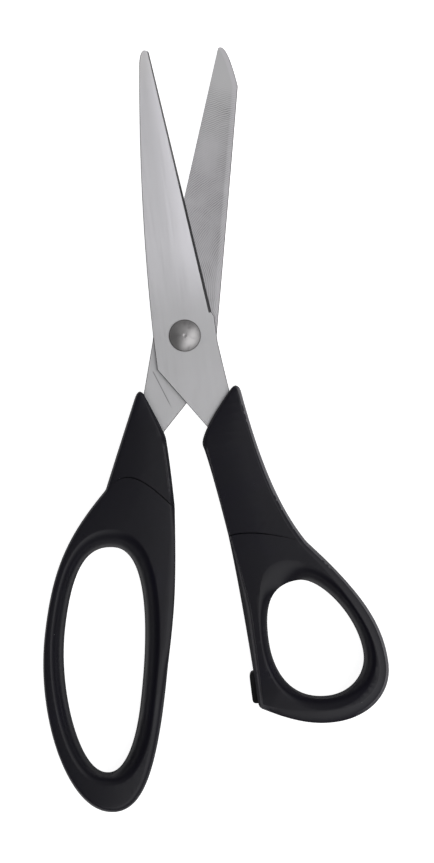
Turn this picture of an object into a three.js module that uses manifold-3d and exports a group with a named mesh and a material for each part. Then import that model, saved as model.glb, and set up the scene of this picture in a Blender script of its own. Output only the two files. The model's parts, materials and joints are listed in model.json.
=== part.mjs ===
// Multi-purpose scissors: two riveted steel blades in moulded handles, one with a long finger loop and one
// with a round thumb loop. Millimetres, +Z up. The scissors lie flat: the pivot axis is Z, the blades point
// along +Y, and z = 0 is the flat tail of the pivot rivet.
//
// Each half is drawn closed in a half frame of its own: pivot at the origin, tip along +Y, handle on the +X
// side, the ground inner face of the blade at the bottom. The finger half is then turned over.
import * as THREE from "three";
import { mergeVertices } from "three/addons/utils/BufferGeometryUtils.js";
import Module from "manifold-3d";

const wasm = await Module();
wasm.setup();

// Pose: how far the blades stand open, in degrees from closed
const OPEN_ANGLE = 13.73;

// Clearances
const BLADE_GAP = 0.1; // between the two ground inner faces
const RUNNING_GAP = 0.08; // round the shank of the rivet
const SEAT_GAP = 0.15; // between seated pieces
const SEAM_GAP = 0.2; // open line between a collar and its loop
const STOP_GAP = 0.1; // bumper to finger loop, when closed

// Blades
const BLADE_REACH = 78.55; // pivot to the tip of the thumb blade
const FINGER_LEAD = 0.85; // how far the finger blade reaches past it
const BLADE_THICKNESS = 2;
const TIP_THICKNESS = 1.1;
const HEEL_REACH = 5.4; // pivot to the heel, where the cutting edge ends
const HEEL_STEP = 0.6; // notch from the cutting edge out to the ricasso
const RICASSO_HALF = 8.6; // half width of the flat round the rivet
const BEVEL_WIDTH = 0.9; // cutting bevel at the heel
const EDGE_LAND = 0.3; // thickness left at the cutting edge
const HOLLOW_DEPTH = 0.12; // hollow grinding of the inner face, at the heel
const HOLLOW_LAND = 1.2; // flat left beside it, along the edge and the spine
const THUMB_TIP_ROUND = 1.2;
const THUMB_TIP_BEND = 2.4; // width at the corner that the rounded tip cuts off
const THUMB_SHOULDER_DROP = 3.4; // tip down to the end of the spine
const THUMB_SHOULDER_WIDTH = 3; // width of the blade there
const THUMB_SPINE_BELLY = 2.2; // how far the spine is pulled outwards
const FINGER_TIP_ROUND = 0.8;
const FINGER_TIP_BEND = 2.8;
const FINGER_SHOULDER_DROP = 10.1;
const FINGER_SHOULDER_WIDTH = 6.6;
const FINGER_SPINE_BELLY = 0.1;

// Shank and tang, below the pivot
const CROSSING_DROP = 8.3; // pivot down to the corner where the shank turns across
const THUMB_MOUTH_OUTER = { x: 10, y: -15.6 }; // where the two edges of the shank enter the collar
const THUMB_MOUTH_INNER = { x: 2.8, y: -25.1 };
const FINGER_MOUTH_OUTER = { x: 9.4, y: -17.2 };
const FINGER_MOUTH_INNER = { x: 2.6, y: -26.4 };
const TANG_WIDTH = 7;
const TANG_SETBACK = 1.9; // tang edge in from the inner edge of the shank
const TANG_DROP = 4.2; // inner edge of the shank down to the start of the tang
const TANG_IN_LOOP = 8; // how far the tang reaches past the seam
const THUMB_TANG_LEAN = 0.22; // sideways run for each millimetre down
const FINGER_TANG_LEAN = 0;
const KEY_RADIUS = 1.7; // tang holes, filled by moulded keys of the collar and the loop

// Pivot rivet and washer
const HEAD_RADIUS = 4.35;
const HEAD_HEIGHT = 1.5;
const HEAD_RIM = 0.25; // straight side below the dome
const SHANK_RADIUS = 2.4;
const TAIL_RADIUS = 3.3;
const TAIL_HEIGHT = 0.8;
const WASHER_RADIUS = 4.2;
const WASHER_THICKNESS = 0.5;

// Handles
const LOOP_THICKNESS = 10.6;
const COLLAR_STEP = 0.2; // front of a collar below the front of its loop; the backs are flush
const PARTING_X = 6.025; // line where the closed handles face each other
const CLOSED_GAP = 0.75; // left open along it
const SLIM_EDGE = 0.6; // rounded edges, measured across
const COLLAR_EDGE = 1.1;
const LOOP_EDGE = 1.6;
const FACET = 1.9; // edge on the inner side of the thumb loop, at its widest
const EDGE_RISE = 1.3; // height of a rounded edge, for each millimetre across
const CREST = 0.6; // least flat left between the dish of a hole and an outer edge
const SCOOP_WAY = { x: -0.13, y: 0.99 }; // where the dish of the thumb hole is scooped out farthest
const SCOOP_FOCUS = 10; // power that narrows the scoop to that way

const THUMB_COLLAR_REACH = 54.8; // pivot down to the crest of the seam
const THUMB_NECK = 15; // seam down to the hole
const THUMB_HOLE_LENGTH = 32.85;
const THUMB_HOLE_WIDTH = 25.3;
const THUMB_RIM_INNER = 5.8;
const THUMB_RIM_OUTER = 6.2;
const THUMB_RIM_TOE = 6.55;
const THUMB_DISH = { inner: 1.8, outer: 3.4, top: 2.4, toe: 3.6, scoop: 5, depth: 3 };

const FINGER_COLLAR_REACH = 39.9;
const FINGER_NECK = 19.55;
const FINGER_HOLE_LENGTH = 61.8;
const FINGER_HOLE_WIDTH = 22.8;
const FINGER_RIM_INNER = 6.35;
const FINGER_RIM_OUTER = 5.05;
const FINGER_RIM_TOE = 9.6;
const FINGER_DISH = { inner: 3.8, outer: 2.6, top: 4.2, toe: 3.4, scoop: 0, depth: 4.4 };

// Points that shape the outline of a handle. Nose points count from the outer end of the shank's mouth,
// shoulder points from its inner end, seam points from the inner side of the handle at the crest of the seam.
const THUMB_OUTLINE = {
  noseSide: { x: 3.2, y: -1.1 },
  noseBend: { x: 3, y: 0.8 },
  noseTop: { x: 1.3, y: 0.5 },
  mouthBend: { x: -2.5, y: -2.1 },
  shoulder: { x: -1.7, y: -5.25 },
  flankBend: { x: -0.4, y: -9.6 },
  seamInner: { x: -1.5, y: -0.6 },
  seamBend: { x: 6.1, y: 1.4 },
  seamOuter: { x: 19.7, y: -5.4 },
  outerBend: { x: 10.8, y: 8.4 },
};
const FINGER_OUTLINE = {
  noseSide: { x: 2.05, y: -0.7 },
  noseBend: { x: 1.7, y: 1.2 },
  noseTop: { x: 0.5, y: 0.8 },
  mouthBend: { x: 0.5, y: 0.6 },
  shoulder: { x: -0.5, y: -1.8 },
  flankBend: { x: -2.3, y: -7.6 },
  seamInner: { x: 3.2, y: -6.7 },
  seamBend: { x: 16.45, y: 3.4 },
  seamOuter: { x: 22.25, y: -4.2 },
  outerBend: { x: 21.15, y: 1.8 },
};

// Where the outline of a loop turns: x from the inner side of the handle, the rest as shares down the hole
const THUMB_TURNS = {
  innerBend: { x: 0.15, share: 0.1 },
  innerEnd: { x: 0.85, share: 1 },
  toeBend: { x: 12.6 },
  toe: { x: 20.85 },
  side: { share: 0.773 },
  outerBend: { share: 0.33 },
};
const FINGER_TURNS = {
  innerBend: { x: -0.1, share: 0.19 },
  innerEnd: { x: 0.1, share: 0.5 },
  toeBend: { x: -0.85 },
  toe: { x: 11.9 },
  side: { share: 0.41 },
  outerBend: { share: 0.045 },
};

// Stop bumper on the inner side of the thumb loop
const BUMPER_LENGTH = 8.6;
const BUMPER_THICKNESS = 5.6;
const BUMPER_RISE = 1; // bottom of the block above the toe of the hole
const BUMPER_SEAT = 1.5; // how far the block reaches past the inner side of the handle
const BUMPER_ROUND = 1.2;
const STEM_LENGTH = 4.4;
const STEM_THICKNESS = 2.6;
const STEM_DEPTH = 1.8;

// How far a cut, or a piece to be joined, runs past a face
const OVERRUN = 1;
const SEAM_OVERRUN = 5;
const TIP_OVERRUN = 0.05; // past the tip of a blade, as a share of its edge

// Fineness of curves, in straight steps
const ROUND_STEPS = 48;
const CURVE_STEPS = 12;
const HOLE_STEPS = 24;
const DISH_STEPS = 3;
const STATION_SPACING = 3; // millimetres between cross-sections of a handle

// Heights in the half frame, counted from the plane where the blades meet
const INNER_FACE = BLADE_GAP / 2;
const OUTER_FACE = INNER_FACE + BLADE_THICKNESS;
const HEAD_SEAT = OUTER_FACE + SEAT_GAP;
const WASHER_TOP = -OUTER_FACE - SEAT_GAP;
const WASHER_BOTTOM = WASHER_TOP - WASHER_THICKNESS;
const TAIL_TOP = WASHER_BOTTOM - SEAT_GAP;
const TAIL_BOTTOM = TAIL_TOP - TAIL_HEIGHT;

// Widths of rounded edges along a stretch of outline, at its start, middle and end
const NOSE_EDGES = [COLLAR_EDGE, SLIM_EDGE, SLIM_EDGE];
const MOUTH_EDGES = [SLIM_EDGE, COLLAR_EDGE, COLLAR_EDGE];
const COLLAR_EDGES = [COLLAR_EDGE, COLLAR_EDGE, COLLAR_EDGE];
const LOOP_EDGES = [LOOP_EDGE, LOOP_EDGE, LOOP_EDGE];

const Y = new THREE.Vector3(0, 1, 0);
const Z = new THREE.Vector3(0, 0, 1);
const at = (x, y) => new THREE.Vector2(x, y);
const beside = (point, by) => at(point.x + by.x, point.y + by.y);
const lerp = THREE.MathUtils.lerp;

// Solids and meshes

function solid(geometry) {
  geometry.deleteAttribute("normal");
  geometry.deleteAttribute("uv");
  const welded = mergeVertices(geometry, 1e-5);
  return new wasm.Manifold(new wasm.Mesh({
    numProp: 3,
    vertProperties: new Float32Array(welded.attributes.position.array),
    triVerts: new Uint32Array(welded.index.array),
  }));
}

function mesh(name, body, material) {
  const { vertProperties, triVerts } = body.getMesh();
  const geometry = new THREE.BufferGeometry();
  geometry.setAttribute("position", new THREE.BufferAttribute(vertProperties, 3));
  geometry.setIndex(new THREE.BufferAttribute(triVerts, 1));
  geometry.computeVertexNormals();
  const node = new THREE.Mesh(geometry, material);
  node.name = name;
  return node;
}

// Flat shape, made thick between two heights
function slab(shape, bottom, top) {
  const options = { depth: top - bottom, bevelEnabled: false, curveSegments: CURVE_STEPS };
  const geometry = new THREE.ExtrudeGeometry(shape, options);
  return solid(geometry.translate(0, 0, bottom));
}

// Section drawn in the plane of two directions, carried along the third
function sweep(section, origin, right, up, length) {
  const along = right.clone().cross(up);
  const placed = new THREE.Matrix4().makeBasis(right, up, along).setPosition(origin);
  const options = { depth: length, bevelEnabled: false };
  const geometry = new THREE.ExtrudeGeometry(new THREE.Shape(section), options);
  return solid(geometry.applyMatrix4(placed));
}

function pin(centre, radius, bottom, top) {
  const geometry = new THREE.CylinderGeometry(radius, radius, top - bottom, ROUND_STEPS / 2);
  geometry.rotateX(Math.PI / 2);
  return solid(geometry.translate(centre.x, centre.y, (bottom + top) / 2));
}

function revolve(profile) {
  return solid(new THREE.LatheGeometry(profile, ROUND_STEPS).rotateX(Math.PI / 2));
}

// Curve that leaves its start and reaches its end along the lines to a corner point.
// A fullness of 0.55 gives a quarter ellipse; more fills the corner.
function bend(start, corner, end, fullness) {
  const leave = start.clone().lerp(corner, fullness);
  const reach = end.clone().lerp(corner, fullness);
  return new THREE.CubicBezierCurve(start, leave, reach, end);
}

// Points and extents of a half that follow from its driving dimensions
function half(own) {
  const throat = beside(own.mouthInner, at(TANG_SETBACK + TANG_WIDTH / 2, -TANG_DROP));
  const onTang = (y) => at(throat.x + own.tangLean * (throat.y - y), y);
  const hole = {
    inner: own.innerX + own.rimInner,
    outer: own.innerX + own.rimInner + own.holeWidth,
    top: -own.collarReach - own.neck,
    toe: -own.collarReach - own.neck - own.holeLength,
  };
  return {
    ...own,
    hole,
    throat,
    tangEnd: onTang(-own.collarReach - TANG_IN_LOOP + TANG_WIDTH / 2),
    collarKey: onTang(lerp(throat.y, -own.collarReach, 0.4)),
    loopKey: onTang(-own.collarReach - TANG_IN_LOOP + TANG_WIDTH / 2),
    across: (share) => lerp(hole.inner, hole.outer, share),
    down: (share) => lerp(hole.top, hole.toe, share),
    seamCrest: at(own.innerX, -own.collarReach),
    outerX: hole.outer + own.rimOuter,
    toeY: hole.toe - own.rimToe,
  };
}

const thumb = half({
  facesUp: true,
  innerX: PARTING_X + CLOSED_GAP / 2,
  reach: BLADE_REACH,
  tipRound: THUMB_TIP_ROUND,
  tipBend: THUMB_TIP_BEND,
  shoulderDrop: THUMB_SHOULDER_DROP,
  shoulderWidth: THUMB_SHOULDER_WIDTH,
  spineBelly: THUMB_SPINE_BELLY,
  mouthOuter: THUMB_MOUTH_OUTER,
  mouthInner: THUMB_MOUTH_INNER,
  tangLean: THUMB_TANG_LEAN,
  collarReach: THUMB_COLLAR_REACH,
  neck: THUMB_NECK,
  holeLength: THUMB_HOLE_LENGTH,
  holeWidth: THUMB_HOLE_WIDTH,
  rimInner: THUMB_RIM_INNER,
  rimOuter: THUMB_RIM_OUTER,
  rimToe: THUMB_RIM_TOE,
  dish: THUMB_DISH,
  bulge: { inner: 0.445, outer: 0.68, top: 0.39, toe: 0.57 },
  holeFullness: { innerToe: 0.635, outerToe: 0.56, outerTop: 0.43, innerTop: 0.69 },
  outline: THUMB_OUTLINE,
  turns: THUMB_TURNS,
  fullness: { seam: 0.6, inner: 0.6, toe: 0.74, side: 0.58, outer: 0.735, collarOuter: 0.7 },
  edges: {
    flank: [COLLAR_EDGE, SLIM_EDGE, SLIM_EDGE],
    inner: [SLIM_EDGE, FACET, COLLAR_EDGE],
    toe: [COLLAR_EDGE, LOOP_EDGE, LOOP_EDGE],
    outer: [LOOP_EDGE, LOOP_EDGE, COLLAR_EDGE],
  },
});

const finger = half({
  facesUp: false,
  innerX: CLOSED_GAP / 2 - PARTING_X,
  reach: BLADE_REACH + FINGER_LEAD,
  tipRound: FINGER_TIP_ROUND,
  tipBend: FINGER_TIP_BEND,
  shoulderDrop: FINGER_SHOULDER_DROP,
  shoulderWidth: FINGER_SHOULDER_WIDTH,
  spineBelly: FINGER_SPINE_BELLY,
  mouthOuter: FINGER_MOUTH_OUTER,
  mouthInner: FINGER_MOUTH_INNER,
  tangLean: FINGER_TANG_LEAN,
  collarReach: FINGER_COLLAR_REACH,
  neck: FINGER_NECK,
  holeLength: FINGER_HOLE_LENGTH,
  holeWidth: FINGER_HOLE_WIDTH,
  rimInner: FINGER_RIM_INNER,
  rimOuter: FINGER_RIM_OUTER,
  rimToe: FINGER_RIM_TOE,
  dish: FINGER_DISH,
  bulge: { inner: 0.67, outer: 0.38, top: 0.51, toe: 0.325 },
  holeFullness: { innerToe: 0.62, outerToe: 0.455, outerTop: 0.7, innerTop: 0.64 },
  outline: FINGER_OUTLINE,
  turns: FINGER_TURNS,
  fullness: { seam: 0.82, inner: 0.87, toe: 0.735, side: 0.49, outer: 0.77, collarOuter: 0.6 },
  edges: {
    flank: COLLAR_EDGES,
    inner: [COLLAR_EDGE, LOOP_EDGE, LOOP_EDGE],
    toe: LOOP_EDGES,
    outer: LOOP_EDGES,
  },
});

// Blades

// Shank and tang, from the ricasso down and back up to the crossing corner, grown by a clearance
function drawShank(path, own, grow) {
  const wide = TANG_WIDTH / 2 + grow;
  path.lineTo(RICASSO_HALF + grow, -HEEL_REACH / 2);
  path.lineTo(own.mouthOuter.x + grow, own.mouthOuter.y);
  path.lineTo(own.throat.x + wide, own.throat.y);
  path.lineTo(own.tangEnd.x + wide, own.tangEnd.y);
  path.absarc(own.tangEnd.x, own.tangEnd.y, wide, 0, -Math.PI, true);
  path.lineTo(own.throat.x - wide, own.throat.y);
  path.lineTo(own.mouthInner.x - grow, own.mouthInner.y - grow);
  path.lineTo(-RICASSO_HALF - grow, -CROSSING_DROP - grow);
}

function roundHole(centre, radius) {
  return new THREE.Path().absarc(centre.x, centre.y, radius, 0, 2 * Math.PI);
}

function bladeOutline(own) {
  const spineFoot = at(-RICASSO_HALF, 0);
  const shoulder = at(-own.shoulderWidth, own.reach - own.shoulderDrop);
  const belly = spineFoot.clone().lerp(shoulder, 0.5);
  const tip = own.tipRound;
  const outline = new THREE.Shape();
  outline.moveTo(0, own.reach - tip);
  outline.lineTo(RICASSO_HALF - HEEL_STEP, HEEL_REACH);
  outline.lineTo(RICASSO_HALF, HEEL_REACH - 2 * HEEL_STEP);
  drawShank(outline, own, 0);
  outline.lineTo(spineFoot.x, spineFoot.y);
  outline.quadraticCurveTo(belly.x - own.spineBelly, belly.y, shoulder.x, shoulder.y);
  outline.quadraticCurveTo(-own.tipBend, own.reach, -tip, own.reach);
  outline.quadraticCurveTo(0, own.reach, 0, own.reach - tip);
  outline.holes = [
    roundHole(at(0, 0), SHANK_RADIUS + RUNNING_GAP),
    roundHole(own.collarKey, KEY_RADIUS),
    roundHole(own.loopKey, KEY_RADIUS),
  ];
  return outline;
}

// Stamped blank, then ground: taper to the tip, cutting bevel, hollow inner face
function bladeSolid(own) {
  const blank = slab(bladeOutline(own), INNER_FACE, OUTER_FACE);
  const above = OUTER_FACE + OVERRUN;
  const beyond = own.reach + OVERRUN;
  const taper = sweep([
    at(HEEL_REACH, OUTER_FACE),
    at(beyond, INNER_FACE + TIP_THICKNESS),
    at(beyond, above),
    at(HEEL_REACH, above),
  ], new THREE.Vector3(-beyond, 0, 0), Y, Z, 2 * beyond);

  const heel = new THREE.Vector3(RICASSO_HALF - HEEL_STEP, HEEL_REACH, 0);
  const tip = new THREE.Vector3(0, own.reach - own.tipRound, 0);
  const edge = heel.clone().sub(tip);
  const outward = Z.clone().cross(edge).normalize();
  const steepness = (BLADE_THICKNESS - EDGE_LAND) / BEVEL_WIDTH;
  const land = INNER_FACE + EDGE_LAND;
  const bevel = sweep([
    at(0, land),
    at(2 * OVERRUN, land),
    at(2 * OVERRUN, above),
    at((land - above) / steepness, above),
  ], tip.addScaledVector(edge, -TIP_OVERRUN), outward, Z, edge.length() * (1 + TIP_OVERRUN));

  return blank.subtract(taper).subtract(bevel).subtract(hollowSolid(own));
}

// Shallow round-bottomed cut, as left by a large grinding wheel; it runs out towards the tip
function hollowSolid(own) {
  const reach = own.reach - own.shoulderDrop;
  const wide = RICASSO_HALF - HOLLOW_LAND;
  const narrow = own.shoulderWidth / 2 - HOLLOW_LAND / 2;
  const radius = (wide * wide) / (2 * HOLLOW_DEPTH);
  const tipDepth = (narrow * narrow) / (2 * radius);
  const reachAngle = (1.5 * wide) / radius;
  const arc = new THREE.Path().absarc(0, -radius, radius, Math.PI / 2 - reachAngle, Math.PI / 2 + reachAngle);
  const start = new THREE.Vector3(-HEEL_STEP / 2, HEEL_REACH, INNER_FACE + HOLLOW_DEPTH);
  const end = new THREE.Vector3(-own.shoulderWidth / 2, reach, INNER_FACE + tipDepth);
  const along = start.clone().sub(end);
  const right = Z.clone().cross(along).normalize();
  const up = along.clone().cross(right).normalize();
  return sweep(arc.getPoints(CURVE_STEPS / 2), end, right, up, along.length());
}

// Handles

// Pocket for the tang in a moulded piece, with the key that fills the hole in the tang
function keyed(body, own, key) {
  const pocket = new THREE.Shape();
  pocket.moveTo(RICASSO_HALF, 0);
  drawShank(pocket, own, SEAT_GAP);
  pocket.lineTo(-RICASSO_HALF, 0);
  const cut = slab(pocket, INNER_FACE - SEAT_GAP, OUTER_FACE + SEAT_GAP);
  const post = pin(key, KEY_RADIUS - SEAT_GAP, INNER_FACE - OVERRUN, OUTER_FACE + OVERRUN);
  return body.subtract(cut).add(post);
}

// Seam between a collar and its loop, from the outer flank to the inner one
function seamCurve({ outline, seamCrest, fullness }) {
  const outer = beside(seamCrest, outline.seamOuter);
  const inner = beside(seamCrest, outline.seamInner);
  return bend(outer, beside(seamCrest, outline.seamBend), inner, fullness.seam);
}

// Curves round a whole handle, counterclockwise from the side of its nose, with the widths of its edge
function handleCurves(own) {
  const { outline, turns, fullness, edges, mouthInner, mouthOuter, seamCrest } = own;
  const { innerX, outerX, toeY, down } = own;
  const noseSide = beside(mouthOuter, outline.noseSide);
  const noseBend = beside(mouthOuter, outline.noseBend);
  const noseTop = beside(mouthOuter, outline.noseTop);
  const mouthBend = beside(mouthInner, outline.mouthBend);
  const shoulder = beside(mouthInner, outline.shoulder);
  const flankBend = beside(mouthInner, outline.flankBend);
  const seamInner = beside(seamCrest, outline.seamInner);
  const innerBend = at(innerX + turns.innerBend.x, down(turns.innerBend.share));
  const innerEnd = at(innerX + turns.innerEnd.x, down(turns.innerEnd.share));
  const toeBend = at(innerX + turns.toeBend.x, toeY);
  const toe = at(innerX + turns.toe.x, toeY);
  const side = at(outerX, down(turns.side.share));
  const outerBend = at(outerX, down(turns.outerBend.share));
  const seamOuter = beside(seamCrest, outline.seamOuter);
  const collarBend = beside(seamCrest, outline.outerBend);
  return [
    { curve: bend(noseSide, noseBend, noseTop, 0.6), edge: NOSE_EDGES },
    { curve: bend(noseTop, mouthBend, shoulder, 0.65), edge: MOUTH_EDGES },
    { curve: bend(shoulder, flankBend, seamInner, 0.6), edge: edges.flank },
    { curve: bend(seamInner, innerBend, innerEnd, fullness.inner), edge: edges.inner },
    { curve: bend(innerEnd, toeBend, toe, fullness.toe), edge: edges.toe },
    { curve: bend(toe, at(outerX, toeY), side, fullness.side), edge: LOOP_EDGES },
    { curve: bend(side, outerBend, seamOuter, fullness.outer), edge: edges.outer },
    { curve: bend(seamOuter, collarBend, noseSide, fullness.collarOuter), edge: COLLAR_EDGES },
  ];
}

// Points round a closed run of curves, each with the inward step across its rounded edge
function outlineStations(stretches) {
  const inward = (curve, share) => {
    const tangent = curve.getTangent(share);
    return at(-tangent.y, tangent.x);
  };
  return stretches.flatMap(({ curve, edge }, index) => {
    const before = stretches.at(index - 1);
    const steps = Math.max(4, Math.round(curve.getLength() / STATION_SPACING));
    return Array.from({ length: steps }, (_, i) => {
      const share = i / steps;
      const part = 2 * share;
      const inside = part < 1 ? lerp(edge[0], edge[1], part) : lerp(edge[1], edge[2], part - 1);
      const width = i > 0 ? inside : (edge[0] + before.edge[2]) / 2;
      const leaving = inward(curve, share);
      const arriving = i > 0 ? leaving : inward(before.curve, 1);
      const step = leaving.clone().add(arriving).multiplyScalar(width / (1 + leaving.dot(arriving)));
      return { point: curve.getPoint(share), width, step };
    });
  });
}

// Rounded upper edge of a handle at one station, from its wall in to its flat face
function edgeSection({ point, width, step }, top) {
  const rise = width * EDGE_RISE;
  return [
    [point, top - rise],
    [point.clone().addScaledVector(step, 1 - Math.SQRT1_2), top - rise * (1 - Math.SQRT1_2)],
    [point.clone().add(step), top],
  ];
}

const mirrored = (section) => section.map(([point, z]) => [point, -z]).reverse();

// Solid with a skin through a closed run of upright cross-sections, closed by a flat face above and below
function loft(sections) {
  const count = sections[0].length;
  const corner = (i, j) => (i % sections.length) * count + j;
  const spans = Array.from({ length: count - 1 }, (_, j) => j);
  const skin = sections.flatMap((_, i) => spans.flatMap((j) => [
    corner(i, j), corner(i + 1, j), corner(i + 1, j + 1),
    corner(i, j), corner(i + 1, j + 1), corner(i, j + 1),
  ]));
  const face = (j) => THREE.ShapeUtils.triangulateShape(sections.map((section) => section[j][0]), []);
  const above = face(count - 1).flatMap((triangle) => triangle.map((i) => corner(i, count - 1)));
  const below = face(0).flatMap((triangle) => triangle.map((i) => corner(i, 0)).reverse());
  const positions = sections.flat().flatMap(([point, z]) => [point.x, point.y, z]);
  const geometry = new THREE.BufferGeometry();
  geometry.setAttribute("position", new THREE.Float32BufferAttribute(positions, 3));
  geometry.setIndex([...skin, ...above, ...below]);
  return solid(geometry);
}

// Whole handle between two heights, not yet parted along its seam
function handleBlank(stations, bottom, top) {
  return loft(stations.map((station) => [
    ...mirrored(edgeSection(station, bottom)),
    ...edgeSection(station, top),
  ]));
}

// Points round an egg-shaped hole, counterclockwise from its inner side, each with the way out into the rim.
// Each side bulges most at its own share of the hole.
function holeStations({ hole, bulge, holeFullness, across, down }) {
  const inner = at(hole.inner, down(bulge.inner));
  const outer = at(hole.outer, down(bulge.outer));
  const top = at(across(bulge.top), hole.top);
  const toe = at(across(bulge.toe), hole.toe);
  const curves = [
    bend(inner, at(hole.inner, hole.toe), toe, holeFullness.innerToe),
    bend(toe, at(hole.outer, hole.toe), outer, holeFullness.outerToe),
    bend(outer, at(hole.outer, hole.top), top, holeFullness.outerTop),
    bend(top, at(hole.inner, hole.top), inner, holeFullness.innerTop),
  ];
  return curves.flatMap((curve) => Array.from({ length: HOLE_STEPS }, (_, i) => {
    const tangent = curve.getTangent(i / HOLE_STEPS);
    return { point: curve.getPoint(i / HOLE_STEPS), outward: at(tangent.y, -tangent.x) };
  }));
}

// Hole with a rounded dish at both of its ends, as a solid to cut away; the dish leaves the rounded rim alone
function holeSolid(own, rim) {
  const { dish } = own;
  const top = LOOP_THICKNESS / 2;
  const turns = Array.from({ length: DISH_STEPS }, (_, i) => (i / DISH_STEPS) * (Math.PI / 2));
  const last = turns.at(-1);
  return loft(holeStations(own).map(({ point, outward }) => {
    const limb = Math.min(...rim.map((station) => station.point.distanceTo(point)));
    const sides = outward.x * outward.x * (outward.x < 0 ? dish.inner : dish.outer);
    const ends = outward.y * outward.y * (outward.y < 0 ? dish.toe : dish.top);
    const scoop = dish.scoop * Math.max(0, outward.dot(SCOOP_WAY)) ** SCOOP_FOCUS;
    const width = Math.min(sides + ends + scoop, limb - LOOP_EDGE - CREST);
    const run = (width * Math.cos(last)) / (dish.depth * (1 - Math.sin(last)));
    const out = (distance) => point.clone().addScaledVector(outward, distance);
    const upper = turns.map((turn) => [
      out(width * (1 - Math.cos(turn))),
      top - dish.depth * (1 - Math.sin(turn)),
    ]);
    upper.push([out(width + run * OVERRUN), top + OVERRUN]);
    return [...mirrored(upper), ...upper];
  }));
}

// Everything on the pivot's side of a seam
function abovePart(own, seam) {
  const points = seam.getPoints(CURVE_STEPS * 2);
  const outer = points[0].clone().addScaledVector(seam.getTangent(0), -SEAM_OVERRUN);
  const inner = points.at(-1).clone().addScaledVector(seam.getTangent(1), SEAM_OVERRUN);
  const shape = new THREE.Shape([outer, ...points, inner, at(-own.outerX, 0), at(2 * own.outerX, 0)]);
  return slab(shape, -LOOP_THICKNESS, LOOP_THICKNESS);
}

// Collar and loop of one handle: the same outline, parted along the seam
function handleSolids(own) {
  const stations = outlineStations(handleCurves(own));
  const above = abovePart(own, seamCurve(own));
  const back = LOOP_THICKNESS / 2;
  const front = back - COLLAR_STEP;
  const collarBlank = own.facesUp ? handleBlank(stations, back, front) : handleBlank(stations, front, back);
  const collar = collarBlank.intersect(above);
  const loop = handleBlank(stations, back, back).subtract(holeSolid(own, stations))
    .subtract(above.translate(0, -SEAM_GAP, 0));
  return { collar: keyed(collar, own, own.collarKey), loop: keyed(loop, own, own.loopKey) };
}

// Stop bumper: a soft block let into the thumb loop, with a stem that holds it; grown for its seat
function bumperSolid(own, grow) {
  const face = PARTING_X - CLOSED_GAP / 2 + STOP_GAP - grow;
  const back = own.innerX + BUMPER_SEAT + grow;
  const foot = own.hole.toe + BUMPER_RISE;
  const bottom = foot - grow;
  const top = foot + BUMPER_LENGTH + grow;
  const block = new THREE.Shape();
  block.moveTo(back, bottom);
  block.lineTo(back, top);
  block.lineTo(face + BUMPER_ROUND, top);
  block.quadraticCurveTo(face, top, face, top - 2 * BUMPER_ROUND);
  block.lineTo(face, bottom + BUMPER_ROUND);
  block.quadraticCurveTo(face, bottom, face + BUMPER_ROUND, bottom);
  const body = slab(block, -BUMPER_THICKNESS / 2 - grow, BUMPER_THICKNESS / 2 + grow);

  const stem = new THREE.BoxGeometry(STEM_DEPTH + OVERRUN, STEM_LENGTH + 2 * grow, STEM_THICKNESS + 2 * grow);
  stem.translate(back + (STEM_DEPTH - OVERRUN) / 2, foot + BUMPER_LENGTH / 2, 0);
  return body.add(solid(stem));
}

// Pivot

function rivetSolid() {
  const dome = HEAD_HEIGHT - HEAD_RIM;
  const radius = (HEAD_RADIUS * HEAD_RADIUS + dome * dome) / (2 * dome);
  const spread = Math.asin(HEAD_RADIUS / radius);
  const crown = HEAD_SEAT + HEAD_HEIGHT;
  const domePoints = Array.from({ length: CURVE_STEPS / 2 + 1 }, (_, i) => {
    const angle = spread * (1 - (2 * i) / CURVE_STEPS);
    return at(radius * Math.sin(angle), crown - radius * (1 - Math.cos(angle)));
  });
  return revolve([
    at(0, TAIL_BOTTOM),
    at(TAIL_RADIUS - TAIL_HEIGHT / 3, TAIL_BOTTOM),
    at(TAIL_RADIUS, TAIL_BOTTOM + TAIL_HEIGHT / 3),
    at(TAIL_RADIUS, TAIL_TOP),
    at(SHANK_RADIUS, TAIL_TOP),
    at(SHANK_RADIUS, HEAD_SEAT),
    at(HEAD_RADIUS, HEAD_SEAT),
    ...domePoints,
  ]);
}

function washerSolid() {
  const ring = new THREE.Shape().absarc(0, 0, WASHER_RADIUS, 0, 2 * Math.PI);
  ring.holes = [roundHole(at(0, 0), SHANK_RADIUS + RUNNING_GAP)];
  return slab(ring, WASHER_BOTTOM, WASHER_TOP);
}

// Assembly

const steel = () => new THREE.MeshStandardMaterial({ color: 0xb4b3b0, roughness: 0.38, metalness: 1 });
const plate = () => new THREE.MeshStandardMaterial({ color: 0xa9a8a6, roughness: 0.22, metalness: 1 });
const moulding = () => new THREE.MeshStandardMaterial({ color: 0x1d1d20, roughness: 0.55, metalness: 0 });
const rubber = () => new THREE.MeshStandardMaterial({ color: 0x101011, roughness: 0.8, metalness: 0 });

const thumbHandle = handleSolids(thumb);
const thumbHalf = new THREE.Group();
thumbHalf.rotation.z = THREE.MathUtils.degToRad(OPEN_ANGLE / 2);
thumbHalf.add(
  mesh("thumb_blade", bladeSolid(thumb), steel()),
  mesh("thumb_collar", thumbHandle.collar, moulding()),
  mesh("thumb_loop", thumbHandle.loop.subtract(bumperSolid(thumb, SEAT_GAP)), moulding()),
  mesh("stop_bumper", bumperSolid(thumb, 0), rubber()),
);

const fingerHandle = handleSolids(finger);
const turnedOver = new THREE.Group();
turnedOver.rotation.y = Math.PI;
turnedOver.add(
  mesh("finger_blade", bladeSolid(finger), steel()),
  mesh("finger_collar", fingerHandle.collar, moulding()),
  mesh("finger_loop", fingerHandle.loop, moulding()),
);
const fingerHalf = new THREE.Group();
fingerHalf.rotation.z = THREE.MathUtils.degToRad(-OPEN_ANGLE / 2);
fingerHalf.add(turnedOver);

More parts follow.
